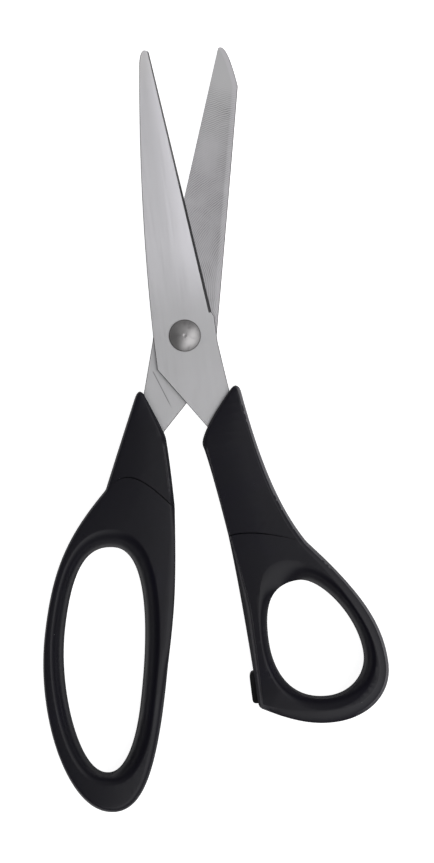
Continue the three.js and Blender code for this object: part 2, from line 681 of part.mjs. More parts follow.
const scissors = new THREE.Group();
scissors.name = "scissors";
scissors.position.z = -TAIL_BOTTOM;
scissors.add(
  thumbHalf,
  fingerHalf,
  mesh("pivot_rivet", rivetSolid(), plate()),
  mesh("rivet_washer", washerSolid(), plate()),
);

export default scissors;
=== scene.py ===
# %% [markdown]
# # Multi-purpose scissors
#
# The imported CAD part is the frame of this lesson: nine solids on two bodies that share one hinge.
# Each solid is drawn again here with finer steps, broken edges and a finish of its own, in the
# same place and at the same size.

import bisect
import contextlib
import json
import math

import bmesh
import bpy
from mathutils import Matrix, Vector
from mathutils.kdtree import KDTree

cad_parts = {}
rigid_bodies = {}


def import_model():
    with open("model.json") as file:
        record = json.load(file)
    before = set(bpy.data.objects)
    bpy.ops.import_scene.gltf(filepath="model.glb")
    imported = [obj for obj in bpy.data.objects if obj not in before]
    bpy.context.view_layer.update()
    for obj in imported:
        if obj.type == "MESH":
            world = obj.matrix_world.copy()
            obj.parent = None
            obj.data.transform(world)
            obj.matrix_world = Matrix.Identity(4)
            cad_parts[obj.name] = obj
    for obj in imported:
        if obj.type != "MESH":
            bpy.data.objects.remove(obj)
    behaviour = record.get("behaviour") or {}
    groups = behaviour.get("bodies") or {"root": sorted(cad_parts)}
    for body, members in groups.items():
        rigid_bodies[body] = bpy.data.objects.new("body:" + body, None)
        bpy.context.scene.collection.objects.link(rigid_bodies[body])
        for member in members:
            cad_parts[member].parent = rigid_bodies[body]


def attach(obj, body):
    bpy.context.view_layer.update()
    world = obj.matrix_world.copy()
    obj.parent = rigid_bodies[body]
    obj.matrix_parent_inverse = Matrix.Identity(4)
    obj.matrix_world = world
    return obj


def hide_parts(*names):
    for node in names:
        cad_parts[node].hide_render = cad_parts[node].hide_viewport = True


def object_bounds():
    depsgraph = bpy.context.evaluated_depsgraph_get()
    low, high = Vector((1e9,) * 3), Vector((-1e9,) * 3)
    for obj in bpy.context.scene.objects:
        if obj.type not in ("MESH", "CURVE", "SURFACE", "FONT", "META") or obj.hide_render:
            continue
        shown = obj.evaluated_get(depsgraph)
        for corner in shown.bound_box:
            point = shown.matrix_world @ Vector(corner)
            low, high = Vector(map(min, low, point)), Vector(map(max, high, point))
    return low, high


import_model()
cad_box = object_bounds()
print("CAD box in mm:", [[round(x * 1000, 1) for x in corner] for corner in cad_box])

# %% [markdown]
# ## Camera
#
# The picture looks straight down on the scissors. A long lens from far away keeps the handles,
# which are nearer to the lens than the blades, from looking too large. The camera could be aimed
# with a constraint, but a straight look down needs no turning except a small roll.

# %% Camera
MM = 0.001
BLADE_HEIGHT = 5 * MM
SEEN_HEIGHT = 235 * MM  # from the top to the bottom of the picture, at the blades
LENS = 100
SENSOR = 36
VIEW_CENTRE = (8.57 * MM, -26.12 * MM)
ROLL = math.radians(-0.365)


def in_scene(name, data):
    """A new object in the scene."""
    made = bpy.data.objects.new(name, data)
    bpy.context.scene.collection.objects.link(made)
    return made


camera_data = bpy.data.cameras.new("camera")
camera_data.lens = LENS
camera_data.sensor_width = SENSOR
camera = in_scene("camera", camera_data)
camera.location = (*VIEW_CENTRE, BLADE_HEIGHT + SEEN_HEIGHT * LENS / SENSOR)
camera.rotation_euler = (0, 0, ROLL)
bpy.context.scene.camera = camera
print("camera height in mm:", round(camera.location.z / MM))

# %% [markdown]
# ## Nodes in few words
#
# Materials and geometry are built from nodes below. These helpers place one node, set its options
# and fill its inputs, either with a plain value or with the output of another node.

# %% Helpers for nodes
def fill(tree, made, inputs):
    """Sets inputs of a node, by name or number."""
    for name, value in inputs.items():
        if isinstance(name, int):
            socket = made.inputs[name]
        else:
            socket = next(s for s in made.inputs if s.name == name and s.enabled)
        if isinstance(value, bpy.types.NodeSocket):
            tree.links.new(value, socket)
        else:
            socket.default_value = value


def place(tree, kind, inputs=None, **options):
    made = tree.nodes.new(kind)
    for name, value in options.items():
        setattr(made, name, value)
    fill(tree, made, inputs or {})
    return made


def result(made, name=None):
    """The output of that name, or else the first one in use."""
    return next(s for s in made.outputs if s.enabled and name in (None, s.name))

# %% Helpers for sums and mixes
def math_node(tree, operation, *values):
    return result(place(tree, "ShaderNodeMath", dict(enumerate(values)), operation=operation))


def product(tree, value, *factors):
    for factor in factors:
        value = math_node(tree, "MULTIPLY", value, factor)
    return value


def vector_node(tree, operation, *values):
    inputs = dict(enumerate(values))
    return result(place(tree, "ShaderNodeVectorMath", inputs, operation=operation))


def part_of(tree, vector, axis):
    return result(place(tree, "ShaderNodeSeparateXYZ", {0: vector}), axis)


def mapped(tree, value, low, high, to_low=0.0, to_high=1.0):
    """A soft step from one value to another, while the input goes from low to high."""
    inputs = {"Value": value, "From Min": low, "From Max": high,
              "To Min": to_low, "To Max": to_high}
    return result(place(tree, "ShaderNodeMapRange", inputs, interpolation_type="SMOOTHSTEP"))


def mixed(tree, factor, first, second, kind="FLOAT"):
    inputs = {"Factor": factor, "A": first, "B": second}
    return result(place(tree, "ShaderNodeMix", inputs, data_type=kind))

# %% [markdown]
# ## Floor and light
#
# The scissors lie on a pale table in a bright, soft studio. Black plastic and steel show mostly
# what they mirror, so the light is arranged by direction: medium straight overhead, where flat
# tops look, dark around that, where slopes look, and bright at the horizon, where rounded edges
# look. A wide glow on the right and near side, and a weak one on the far side, are what the rivet
# and the slopes that face them pick up.

# %% Floor
FLOOR_REACH = 3


def new_material(name):
    material = bpy.data.materials.new(name)
    material.use_nodes = True
    tree = material.node_tree
    return material, tree, tree.nodes["Principled BSDF"]


corners = [(-1, -1), (1, -1), (1, 1), (-1, 1)]
floor_points = [(x * FLOOR_REACH, y * FLOOR_REACH, cad_box[0].z) for x, y in corners]
floor_mesh = bpy.data.meshes.new("floor")
floor_mesh.from_pydata(floor_points, [], [(0, 1, 2, 3)])
floor_material, tree, shader = new_material("pale_floor")
fill(tree, shader, {
    "Base Color": (0.5, 0.5, 0.5, 1),
    "Roughness": 0.9,
    "Specular IOR Level": 0,
    "Emission Color": (1, 1, 1, 1),
    "Emission Strength": 0.9,
})
floor_mesh.materials.append(floor_material)
floor = in_scene("floor", floor_mesh)
print("height of the floor in mm:", round(cad_box[0].z / MM, 2))

# %% Light
# Height above the horizon and brightness there
SKY = [(0.0, 2.4), (0.1, 1.2), (0.24, 0.2), (0.6, 0.1), (0.85, 0.18), (0.97, 0.49)]
# Side, where the glow starts, where it is full, and its brightness
GLOWS = [((0.85, -0.52, 0), 0.05, 0.28, 2.0), ((0.1, 0.99, 0), 0.22, 0.5, 0.5)]
GLOW_START, GLOW_FULL = 0.5, 0.78  # height of both
COOL_WHITE = (1, 1, 1.01, 1)

world = bpy.data.worlds.new("studio")
world.use_nodes = True
bpy.context.scene.world = world
tree = world.node_tree
direction = result(place(tree, "ShaderNodeTexCoord"), "Generated")
upward = part_of(tree, direction, "Z")
sky = place(tree, "ShaderNodeValToRGB", {"Fac": upward})
stops = sky.color_ramp.elements
for _ in SKY[2:]:
    stops.new(0.5)
for stop, (height, grey) in zip(stops, SKY):
    stop.position = height
    stop.color = (grey, grey, grey, 1)
brightness = result(sky, "Color")
high_up = mapped(tree, upward, GLOW_START, GLOW_FULL)
for side, start, full, strength in GLOWS:
    towards = vector_node(tree, "DOT_PRODUCT", direction, side)
    glow = mapped(tree, towards, start, full, 0.0, strength)
    brightness = math_node(tree, "MULTIPLY_ADD", glow, high_up, brightness)
fill(tree, tree.nodes["Background"], {"Color": COOL_WHITE, "Strength": brightness})
bpy.context.scene.view_settings.view_transform = "Standard"
print("brightness of the studio from horizon to zenith:", [grey for _, grey in SKY])

# %% [markdown]
# ## Two half frames
#
# Both halves are drawn closed, each in a frame of its own: pivot at the origin, tip along +Y,
# handle towards +X, ground inner face down, in millimetres. A matrix carries each half to its
# place. The finger half is the same kind of part turned over, so its matrix holds a half turn
# about Y.

# %% Half frames
HALF_OPEN = math.radians(13.73) / 2
MEETING_HEIGHT = 3.65  # where the blades meet, above the bottom of the rivet
lift = Matrix.Scale(MM, 4) @ Matrix.Translation((0, 0, MEETING_HEIGHT))
TO_WORLD = {
    "thumb": lift @ Matrix.Rotation(HALF_OPEN, 4, "Z"),
    "finger": lift @ Matrix.Rotation(-HALF_OPEN, 4, "Z") @ Matrix.Rotation(math.pi, 4, "Y"),
    "pivot": lift,
}
BODY = {"thumb": "thumb_half", "finger": "finger_half", "pivot": "finger_half"}
print("bodies:", BODY)

# %% [markdown]
# ## From a mesh to a piece
#
# Every mesh goes the same last way. Its place in the half frame is kept as an attribute, because
# the finishes follow it. Then it is carried to its place, its sharp edges are creased, and it
# stands for its CAD solid. Weighted normals keep the large flat faces looking flat beside their
# small broken edges.

# %% Helpers for pieces
def mark(mesh, name, values, domain="POINT"):
    """Writes a number or a vector on each point or face of a mesh."""
    if isinstance(values[0], Vector):
        attribute = mesh.attributes.new(name, "FLOAT_VECTOR", domain)
        attribute.data.foreach_set("vector", [x for value in values for x in value.to_3d()])
    else:
        attribute = mesh.attributes.new(name, "FLOAT", domain)
        attribute.data.foreach_set("value", [float(value) for value in values])


def modified(mesh, kind, **options):
    """The mesh as it comes out of one modifier."""
    carrier = in_scene("carrier", mesh)
    modifier = carrier.modifiers.new("modifier", kind)
    for name, value in options.items():
        if name in modifier.bl_rna.properties:
            setattr(modifier, name, value)
        else:
            modifier[name] = value
    graph = bpy.context.evaluated_depsgraph_get()
    made = bpy.data.meshes.new_from_object(carrier.evaluated_get(graph), depsgraph=graph)
    bpy.data.objects.remove(carrier)
    return made


def finish_piece(mesh, half, node, material, crease=30):
    """Carries a mesh to its place, creases its edges and lets it stand for its CAD node."""
    mark(mesh, "half_place", [vertex.co.copy() for vertex in mesh.vertices])
    mesh.transform(TO_WORLD[half])
    mesh.shade_smooth()
    mesh.set_sharp_from_angle(angle=math.radians(crease))
    mesh = modified(mesh, "WEIGHTED_NORMAL", keep_sharp=True)
    mesh.materials.clear()
    mesh.materials.append(material)
    mesh.polygons.foreach_set("material_index", [0] * len(mesh.polygons))
    piece = in_scene(node + "_dressed", mesh)
    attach(piece, BODY[half])
    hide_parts(node)
    print(piece.name, len(mesh.polygons), "faces")

# %% [markdown]
# ## Effects that several finishes share
#
# Three effects return on more than one material, so each is a node group with inputs of its own:
# a grain drawn out in one direction, soft smudges, and specks of dust. A group gives masks and
# heights only. The shader, which turns them into colour and gloss, stays in each material.

# %% Group: drawn grain
def new_group(name, kind, inputs, outputs):
    """A node group, the sockets that bring its inputs and the sockets that take its outputs."""
    tree = bpy.data.node_groups.new(name, kind + "NodeTree")
    for way, sockets in (("INPUT", inputs), ("OUTPUT", outputs)):
        for socket, held in sockets.items():
            tree.interface.new_socket(socket, in_out=way, socket_type="NodeSocket" + held)
    given = tree.nodes.new("NodeGroupInput").outputs
    return tree, given, tree.nodes.new("NodeGroupOutput").inputs


def use_group(tree, group, **inputs):
    return place(tree, "ShaderNodeGroup", inputs, node_tree=group).outputs


def noise(tree, spot, scale, detail, distortion=0.0):
    inputs = {"Vector": spot, "Scale": scale, "Detail": detail, "Distortion": distortion}
    return result(place(tree, "ShaderNodeTexNoise", inputs), "Fac")


drawn_grain, given, gives = new_group(
    "Drawn grain", "Shader", {"Place": "Vector", "Stretch": "Vector", "Fineness": "Float"},
    {"Tone": "Float", "Height": "Float"})
stretched = vector_node(drawn_grain, "MULTIPLY", given["Place"], given["Stretch"])
drawn_grain.links.new(noise(drawn_grain, stretched, 1.0, 4.0), gives["Tone"])
drawn_grain.links.new(noise(drawn_grain, stretched, given["Fineness"], 2.0), gives["Height"])

# %% Groups: smudges and specks
smudges, given, gives = new_group(
    "Smudges", "Shader", {"Place": "Vector", "Size": "Float", "Share": "Float"}, {"Mask": "Float"})
scale = math_node(smudges, "DIVIDE", 1.0, given["Size"])
patches = noise(smudges, given["Place"], scale, 3.0, 0.6)
start = math_node(smudges, "SUBTRACT", 0.75, given["Share"])
smudges.links.new(mapped(smudges, patches, start, 0.8), gives["Mask"])

specks, given, gives = new_group(
    "Specks", "Shader", {"Place": "Vector", "Spacing": "Float", "Size": "Float"}, {"Mask": "Float"})
scale = math_node(specks, "DIVIDE", 1.0, given["Spacing"])
cells = place(specks, "ShaderNodeTexVoronoi", {"Vector": given["Place"], "Scale": scale})
reach = math_node(specks, "MULTIPLY", given["Size"], scale)
inside = math_node(specks, "LESS_THAN", result(cells, "Distance"), reach)
specks.links.new(inside, gives["Mask"])
print("groups:", [group.name for group in bpy.data.node_groups])

# %% [markdown]
# ## Finish: blade steel
#
# The outer faces are satin: fine lines run along the blade. A painted highlight makes them
# lighter towards the cutting edge above the rivet, and near the tip. Attributes on the mesh say how
# far a point is from the spine and from the edge, so the tone can follow the blade although it is
# curved.

# %% Satin faces
SATIN_DARK, SATIN_LIGHT = (0.492, 0.49, 0.496), (0.536, 0.534, 0.54)
STAIN = (0.52, 0.514, 0.526)
# Painted highlights: towards the cutting edge above the rivet, and near the tip
PAINTED_EDGE_HIGHLIGHT = (0.855, 0.842, 0.874)
PAINTED_TIP_HIGHLIGHT = (0.76, 0.742, 0.722)


def attribute_value(tree, name, output="Fac"):
    return result(place(tree, "ShaderNodeAttribute", attribute_name=name), output)


def layered(tree, colour, *layers):
    """Lays colours over a first one, each where its mask says."""
    opaque = lambda shade: (*shade, 1) if isinstance(shade, tuple) else shade
    for mask, over in layers:
        colour = mixed(tree, mask, opaque(colour), opaque(over), "RGBA")
    return colour


blade_steel, tree, shader = new_material("blade_steel")
on_blade = attribute_value(tree, "half_place", "Vector")
along_blade = part_of(tree, on_blade, "Y")
grain = use_group(tree, drawn_grain, Place=on_blade, Stretch=(3.0, 0.05, 3.0), Fineness=4.0)
stain = use_group(tree, smudges, Place=on_blade, Size=14.0, Share=0.3)
above_rivet = mapped(tree, along_blade, -2.0, 28.0)
near_edge = mapped(tree, attribute_value(tree, "towards_edge"), 0.3, 1.0, 0.46, 0.98)
near_tip = mapped(tree, along_blade, 64.0, 78.0, 0.0, 0.4)
satin = layered(
    tree, SATIN_DARK, (grain["Tone"], SATIN_LIGHT), (stain["Mask"], STAIN),
    (product(tree, near_edge, above_rivet), PAINTED_EDGE_HIGHLIGHT), (near_tip, PAINTED_TIP_HIGHLIGHT))
print("nodes for the satin faces:", len(tree.nodes))

# %% [markdown]
# ### Ground faces
#
# The inner faces are hollow ground by a cup wheel, which leaves arcs about the wheel's centre. An
# image of them would need a careful UV map. The distance from that centre, turned into a wave,
# draws them with none, and a little noise keeps them from being too regular.

# %% Ground faces
WHEEL_CENTRE = (-24.4, 15.0, 0)  # in the half frame
LINE_SPACING = 0.52
LINE_WANDER = 1.3  # in spacings
GROUND_DARK, GROUND_LIGHT = (0.43, 0.421, 0.435), (0.48, 0.471, 0.485)
GROUND_TIP = (0.51, 0.507, 0.511)
GROUND_HEEL = (0.51, 0.501, 0.515)
SPINE_BAND = (0.55, 0.541, 0.555)
LINE = (0.24, 0.235, 0.24)

to_centre = vector_node(tree, "DISTANCE", on_blade, WHEEL_CENTRE)
turns = math_node(tree, "DIVIDE", to_centre, LINE_SPACING)
turns = math_node(tree, "MULTIPLY_ADD", noise(tree, on_blade, 0.5, 3.0), LINE_WANDER, turns)
wave = math_node(tree, "SINE", math_node(tree, "MULTIPLY", turns, 2 * math.pi))
patchy = use_group(tree, smudges, Place=on_blade, Size=9.0, Share=0.6)
from_spine = attribute_value(tree, "from_spine")
off_tip = mapped(tree, along_blade, 72.0, 62.0)
off_band = mapped(tree, from_spine, 0.4, 1.9, 0.35)
lines = product(tree, mapped(tree, wave, -0.2, 0.9), off_tip, off_band, patchy["Mask"])
ground_steel = layered(
    tree, GROUND_DARK, (grain["Tone"], GROUND_LIGHT),
    (mapped(tree, along_blade, 40.0, 70.0), GROUND_TIP),
    (mapped(tree, along_blade, 34.0, 8.0), GROUND_HEEL),
    (mapped(tree, from_spine, 1.7, 1.2), SPINE_BAND), (lines, LINE))
print("with the ground faces:", len(tree.nodes))

# %% [markdown]
# ### Cut sides, rub mark and gloss
#
# The narrow cut sides and the cutting bevel are painted nearly black, a painted shade for the dark
# they mirror. The corner of the other blade has rubbed a short dark line on the shank. It is drawn
# by the distance from a straight line, which fades at both ends.

# %% Cut sides, rub mark and gloss
RUB_START = (7.6, -10.6, 0)
RUB_WAY = (-0.5555, -0.8315, 0)
RUB_LENGTH, RUB_WIDTH, RUB_FADE = 11.8, 0.2, 3
RUBBED = (0.16, 0.155, 0.16)
# Painted shade on the steep cut sides and the cutting bevel
CUT_SIDE_PAINTED_SHADE = (0.045, 0.043, 0.045)


def bumped(tree, height, strength, distance):
    inputs = {"Height": height, "Strength": strength, "Distance": distance}
    return result(place(tree, "ShaderNodeBump", inputs))


from_rub = vector_node(tree, "SUBTRACT", on_blade, RUB_START)
along_rub = vector_node(tree, "DOT_PRODUCT", from_rub, RUB_WAY)
beside_rub = vector_node(tree, "DOT_PRODUCT", from_rub, (-RUB_WAY[1], RUB_WAY[0], 0))
beside_rub = math_node(tree, "ABSOLUTE", beside_rub)
rubbed = product(
    tree, mapped(tree, beside_rub, RUB_WIDTH, RUB_WIDTH / 3, 0.0, 0.7),
    mapped(tree, along_rub, -0.3, 0.5),
    mapped(tree, along_rub, RUB_LENGTH, RUB_LENGTH - RUB_FADE),
    attribute_value(tree, "shank_inside"))
ground = attribute_value(tree, "ground")
cut = attribute_value(tree, "cut")
satin_gloss = mapped(tree, grain["Tone"], 0.2, 0.8, 0.30, 0.42)
grooves = mixed(tree, ground, grain["Height"], lines)
fill(tree, shader, {
    "Base Color": layered(tree, satin, (ground, ground_steel), (cut, CUT_SIDE_PAINTED_SHADE), (rubbed, RUBBED)),
    "Roughness": mixed(tree, ground, satin_gloss, 0.48),
    "Metallic": 1.0,
    "Normal": bumped(tree, grooves, 0.25, 0.02 * MM),
})
print("nodes in blade_steel:", len(tree.nodes))

# %% [markdown]
# ## Finish: turned steel
#
# The head of the rivet and the washer are turned and polished. What is left of the turning is a
# set of very fine rings about the pivot, and a few soft handling marks. The rings are a noise that
# knows only the distance from the axis.

# %% Turned steel
TURNED_DARK, TURNED_LIGHT = (0.32, 0.311, 0.311), (0.375, 0.367, 0.365)
HANDLING_MARK = (0.25, 0.243, 0.243)
RIM_SHADE = (0.09, 0.087, 0.087)

rivet_steel, tree, shader = new_material("rivet_steel")
on_rivet = attribute_value(tree, "half_place", "Vector")
from_axis = vector_node(tree, "LENGTH", vector_node(tree, "MULTIPLY", on_rivet, (1, 1, 0)))
rings = result(place(tree, "ShaderNodeTexNoise", {"W": from_axis, "Scale": 9.0, "Detail": 2.0},
                     noise_dimensions="1D"), "Fac")
marks = use_group(tree, smudges, Place=on_rivet, Size=2.5, Share=0.3)
at_rim = mapped(tree, from_axis, 4.0, 4.3, 0.0, 0.7)
fill(tree, shader, {
    "Base Color": layered(tree, TURNED_DARK, (rings, TURNED_LIGHT), (marks["Mask"], HANDLING_MARK),
                          (at_rim, RIM_SHADE)),
    "Roughness": mapped(tree, marks["Mask"], 0.0, 1.0, 0.4, 0.48),
    "Metallic": 1.0,
    "Normal": bumped(tree, rings, 0.2, 0.03 * MM),
})
print("nodes in rivet_steel:", len(tree.nodes))

# %% [markdown]
# ## Finish: moulded plastic and rubber
#
# The handles come out of a spark-eroded mould, which prints a very fine, even grain and makes the
# black matte. The grain is coarser on the upright walls, so they hardly shine; the direction of
# the surface tells them apart. The edges and the lips of the holes get a painted highlight for the
# bright horizon they mirror; the mesh carries it as an attribute. The bumper is softer rubber with
# no gloss.

# %% Plastic and rubber
DUST = (0.11, 0.11, 0.11)
HANDLED = 1.5  # how much lighter a handled place is


def black_moulding(name, base, painted_highlight, gloss, grain_size, specular):
    material, tree, shader = new_material(name)
    position = result(place(tree, "ShaderNodeTexCoord"), "Object")
    in_mm = vector_node(tree, "MULTIPLY", position, (1000, 1000, 1000))
    fine = use_group(tree, drawn_grain, Place=in_mm, Stretch=(1 / grain_size,) * 3, Fineness=1.0)
    handled = use_group(tree, smudges, Place=in_mm, Size=16.0, Share=0.35)["Mask"]
    dust = use_group(tree, specks, Place=in_mm, Spacing=6.0, Size=0.11)["Mask"]
    broken_up = mapped(tree, fine["Tone"], 0.2, 0.7, 0.4, 1.0)
    # Painted highlight where the mesh marks the edges and the lips, broken up by the grain
    highlight_amount = product(tree, attribute_value(tree, "painted_highlight"), broken_up)
    normal = result(place(tree, "ShaderNodeNewGeometry"), "Normal")
    facing_up = math_node(tree, "ABSOLUTE", part_of(tree, normal, "Z"))
    upright = mapped(tree, facing_up, 0.25, 0.6, 1.0, 0.0)
    polished, plain = gloss
    fill(tree, shader, {
        "Base Color": layered(tree, base, (handled, tuple(HANDLED * x for x in base)),
                              (highlight_amount, painted_highlight), (dust, DUST)),
        "Roughness": mixed(tree, upright, mapped(tree, handled, 0.0, 1.0, plain, polished), 1.0),
        "Specular IOR Level": specular,
        "Normal": bumped(tree, fine["Height"], 0.3, 0.04 * MM),
    })
    return material


handle_plastic = black_moulding(
    "handle_plastic", base=(0.0024, 0.002, 0.0054), painted_highlight=(0.13, 0.127, 0.135),
    gloss=(0.27, 0.34), grain_size=0.16, specular=0.22)
bumper_rubber = black_moulding(
    "bumper_rubber", base=(0.003, 0.003, 0.0035), painted_highlight=(0.01, 0.01, 0.01),
    gloss=(0.65, 0.75), grain_size=0.3, specular=0.15)
print("materials:", [m.name for m in (blade_steel, rivet_steel, handle_plastic, bumper_rubber)])

# %% [markdown]
# ## Blades
#
# A blade is a strip of steel whose left and right sides are known at every height, from the tip
# down to the hidden tang. So it can be drawn as a ladder of cross-sections, one for each height:
# flat back, chamfered spine, outer face and, above the heel, the cutting bevel and the hollow of
# the inner face.

# %% Measures of the blades
HEEL = 5.4  # where the cutting edge ends, above the pivot
HEEL_EDGE = 8.0  # cutting side there
HEEL_SLOPE = 1.2
RICASSO = 8.6  # half width of the flat round the rivet
RICASSO_DROP = 2.7
CROSSING_DROP = 8.3  # pivot down to where the shank turns across
TANG = 3.5  # half width
TANG_SETBACK = 1.9
TANG_DROP = 4.2
TANG_IN_LOOP = 8
TANG_TURN = [math.radians(angle) for angle in range(0, 86, 12)]
BLADES = {
    "thumb": {"reach": 78.55, "tip": 1.2, "bend": 2.4, "drop": 3.4, "shoulder": 3.0,
              "belly": 2.2, "outer": (10, -15.6), "inner": (2.8, -25.1), "lean": 0.22,
              "seam": -54.8},
    "finger": {"reach": 79.4, "tip": 0.8, "bend": 2.8, "drop": 10.1, "shoulder": 6.6,
               "belly": 0.1, "outer": (9.4, -17.2), "inner": (2.6, -26.4), "lean": 0.0,
               "seam": -39.9},
}
print("reach of the blades in mm:", {half: blade["reach"] for half, blade in BLADES.items()})

# %% Sides of the blades
def arc(start, control, end, steps=24):
    start, control, end = Vector(start), Vector(control), Vector(end)
    shares = [i / steps for i in range(steps + 1)]
    return [start * (1 - s) ** 2 + control * 2 * s * (1 - s) + end * s ** 2 for s in shares]


def blade_sides(blade):
    """Spine side and cutting side as points from the tip down to the end of the tang."""
    reach, tip = blade["reach"], blade["tip"]
    top = Vector((-tip, reach))
    shoulder = Vector((-blade["shoulder"], reach - blade["drop"]))
    foot = Vector((-RICASSO, 0))
    belly = foot.lerp(shoulder, 0.5) - Vector((blade["belly"], 0))
    throat = Vector(blade["inner"]) + Vector((TANG_SETBACK + TANG, -TANG_DROP))
    end_height = blade["seam"] - TANG_IN_LOOP + TANG
    end = Vector((throat.x + blade["lean"] * (throat.y - end_height), end_height))
    spine = arc(top, (-blade["bend"], reach), shoulder) + arc(shoulder, belly, foot)[1:]
    spine += [Vector((-RICASSO, -CROSSING_DROP)), Vector(blade["inner"])]
    edge = arc(top, (0, reach), (0, reach - tip))
    edge += [Vector((HEEL_EDGE, HEEL)), Vector((RICASSO, HEEL - HEEL_SLOPE))]
    edge += [Vector((RICASSO, -RICASSO_DROP)), Vector(blade["outer"])]
    for side, way in ((spine, -1), (edge, 1)):
        side.append(throat + Vector((way * TANG, 0)))
        side += [end + TANG * Vector((way * math.cos(a), -math.sin(a))) for a in TANG_TURN]
    return spine, edge


def within(value, low=0, high=1):
    return min(max(value, low), high)


def crossing(side, y):
    """Where a side, running downwards, crosses a height."""
    index = bisect.bisect_left(side, -y, key=lambda point: -point.y)
    index = within(index, 1, len(side) - 1)
    above, below = side[index - 1], side[index]
    share = (above.y - y) / max(above.y - below.y, 1e-6)
    return above.x + (below.x - above.x) * within(share)


sides = {half: blade_sides(blade) for half, blade in BLADES.items()}
for half, (spine, edge) in sides.items():
    print(half, "width at the heel in mm:", round(crossing(edge, HEEL) - crossing(spine, HEEL), 2))

# %% Hollow of the inner face
HOLLOW_DEPTH, HOLLOW_HALF, HOLLOW_MIDDLE = 0.12, 7.4, -0.3  # at the heel
HOLLOW_LAND = 0.6  # left on each side at the end of the hollow
HOLLOW_RADIUS = HOLLOW_HALF ** 2 / (2 * HOLLOW_DEPTH)


def hollow_depth(blade, x, y):
    """Depth of the inner face: a wide round channel that runs out towards the tip."""
    share = (y - HEEL) / (blade["reach"] - blade["drop"] - HEEL)
    if not 0 <= share <= 1:
        return 0
    half_shoulder = blade["shoulder"] / 2
    middle = HOLLOW_MIDDLE + share * (-HOLLOW_MIDDLE - half_shoulder)
    end_depth = (half_shoulder - HOLLOW_LAND) ** 2 / (2 * HOLLOW_RADIUS)
    depth = HOLLOW_DEPTH + share * (end_depth - HOLLOW_DEPTH)
    return max(0, depth - (x - middle) ** 2 / (2 * HOLLOW_RADIUS))


print("radius of the hollow in mm:", round(HOLLOW_RADIUS))

# %% Cross-section of a blade
INNER, OUTER = 0.05, 2.05  # faces, above the plane where the blades meet
TIP_THICKNESS = 1.1
BROKEN_EDGE = 0.16  # sharp corners are taken off
HONED_EDGE = 0.02
EDGE_LAND = 0.3  # thickness left at the cutting edge
BEVEL_WIDTH = 0.8
BEVEL_SLOPE = (OUTER - INNER - EDGE_LAND) / BEVEL_WIDTH
ACROSS = 14


def between(start, end):
    return [start + (end - start) * i / (ACROSS - 1) for i in range(1, ACROSS - 1)]


def blade_section(half, y, sharpened):
    spine, edge = sides[half]
    left, right = crossing(spine, y), crossing(edge, y)
    taper = max(0, (y - HEEL) / (BLADES[half]["reach"] + 1 - HEEL))
    top = OUTER + taper * (INNER + TIP_THICKNESS - OUTER)
    chamfer = min(BROKEN_EDGE, (right - left) / 4)
    land = INNER + EDGE_LAND
    if sharpened:
        bevel = min((top - land) / BEVEL_SLOPE, (right - left) / 2)
        cutting = [(right - bevel, top), (right, land), (right, INNER + HONED_EDGE),
                   (right - HONED_EDGE, INNER)]
    else:
        cutting = [(right - chamfer, top), (right, top - chamfer), (right, INNER + chamfer),
                   (right - chamfer, INNER)]
    back = [(left + chamfer, INNER), (left, INNER + chamfer), (left, top - chamfer),
            (left + chamfer, top)]
    outer = [(x, top) for x in between(back[3][0], cutting[0][0])]
    inner = [(x, INNER + hollow_depth(BLADES[half], x, y))
             for x in between(cutting[3][0], back[0][0])]
    return [(x, y, z) for x, z in [*outer, *cutting, *inner, *back]]


print("points in a section:", len(blade_section("thumb", HEEL, True)))

# %% Ladder of sections
TIP_STEP, TIP_ROWS = 0.02, 61  # rows crowd towards the tip
HEEL_NICK = 0.002
ROW_GAP = 0.01


@contextlib.contextmanager
def edited(mesh):
    """Opens a mesh for editing and writes the result back."""
    shape = bmesh.new()
    shape.from_mesh(mesh)
    yield shape
    shape.to_mesh(mesh)
    shape.free()


def solid_mesh(name, rows):
    """A closed skin over rows of points, each of them a ring."""
    count = len(rows[0])
    last = (len(rows) - 1) * count
    faces = [(i + j, i + count + j, i + count + (j + 1) % count, i + (j + 1) % count)
             for i in range(0, last, count) for j in range(count)]
    faces += [tuple(range(count)), tuple(range(last, last + count))]
    mesh = bpy.data.meshes.new(name)
    mesh.from_pydata([point for row in rows for point in row], [], faces)
    with edited(mesh) as shape:
        bmesh.ops.recalc_face_normals(shape, faces=shape.faces)
    return mesh


def blade_mesh(half):
    spine, edge = sides[half]
    reach = BLADES[half]["reach"]
    heights = {round(point.y, 3) for point in spine + edge}
    heights |= {round(reach - TIP_STEP * i * i, 3) for i in range(1, TIP_ROWS + 1)}
    low = min(spine[-1].y, edge[-1].y)
    heights = [y for y in sorted(heights, reverse=True)
               if low < y < reach - ROW_GAP and abs(y - HEEL) > ROW_GAP]
    above = [blade_section(half, y, True) for y in heights if y > HEEL]
    heel = [blade_section(half, HEEL, True), blade_section(half, HEEL - HEEL_NICK, False)]
    below = [blade_section(half, y, False) for y in heights if y < HEEL]
    return solid_mesh(half + "_blade", above + heel + below)


blade_meshes = {half: blade_mesh(half) for half in BLADES}
print("blade vertices:", {half: len(mesh.vertices) for half, mesh in blade_meshes.items()})

# %% [markdown]
# ### Hole for the rivet
#
# The rivet passes through both blades. A Boolean modifier cuts its hole, and the result is read
# back as a plain mesh. After that each face is told what it is: hollow ground, cut side, or satin.

# %% Rivet holes and face marks
HOLE_RADIUS = 2.48
LEVEL = 0.9  # a face that looks up or down more than this is a flat of the blade


def carved(mesh, tool_mesh, operation="DIFFERENCE"):
    """The mesh without, or only with, what a tool reaches."""
    tool = in_scene("tool", tool_mesh)
    made = modified(mesh, "BOOLEAN", object=tool, operation=operation, solver="EXACT")
    bpy.data.objects.remove(tool)
    return made


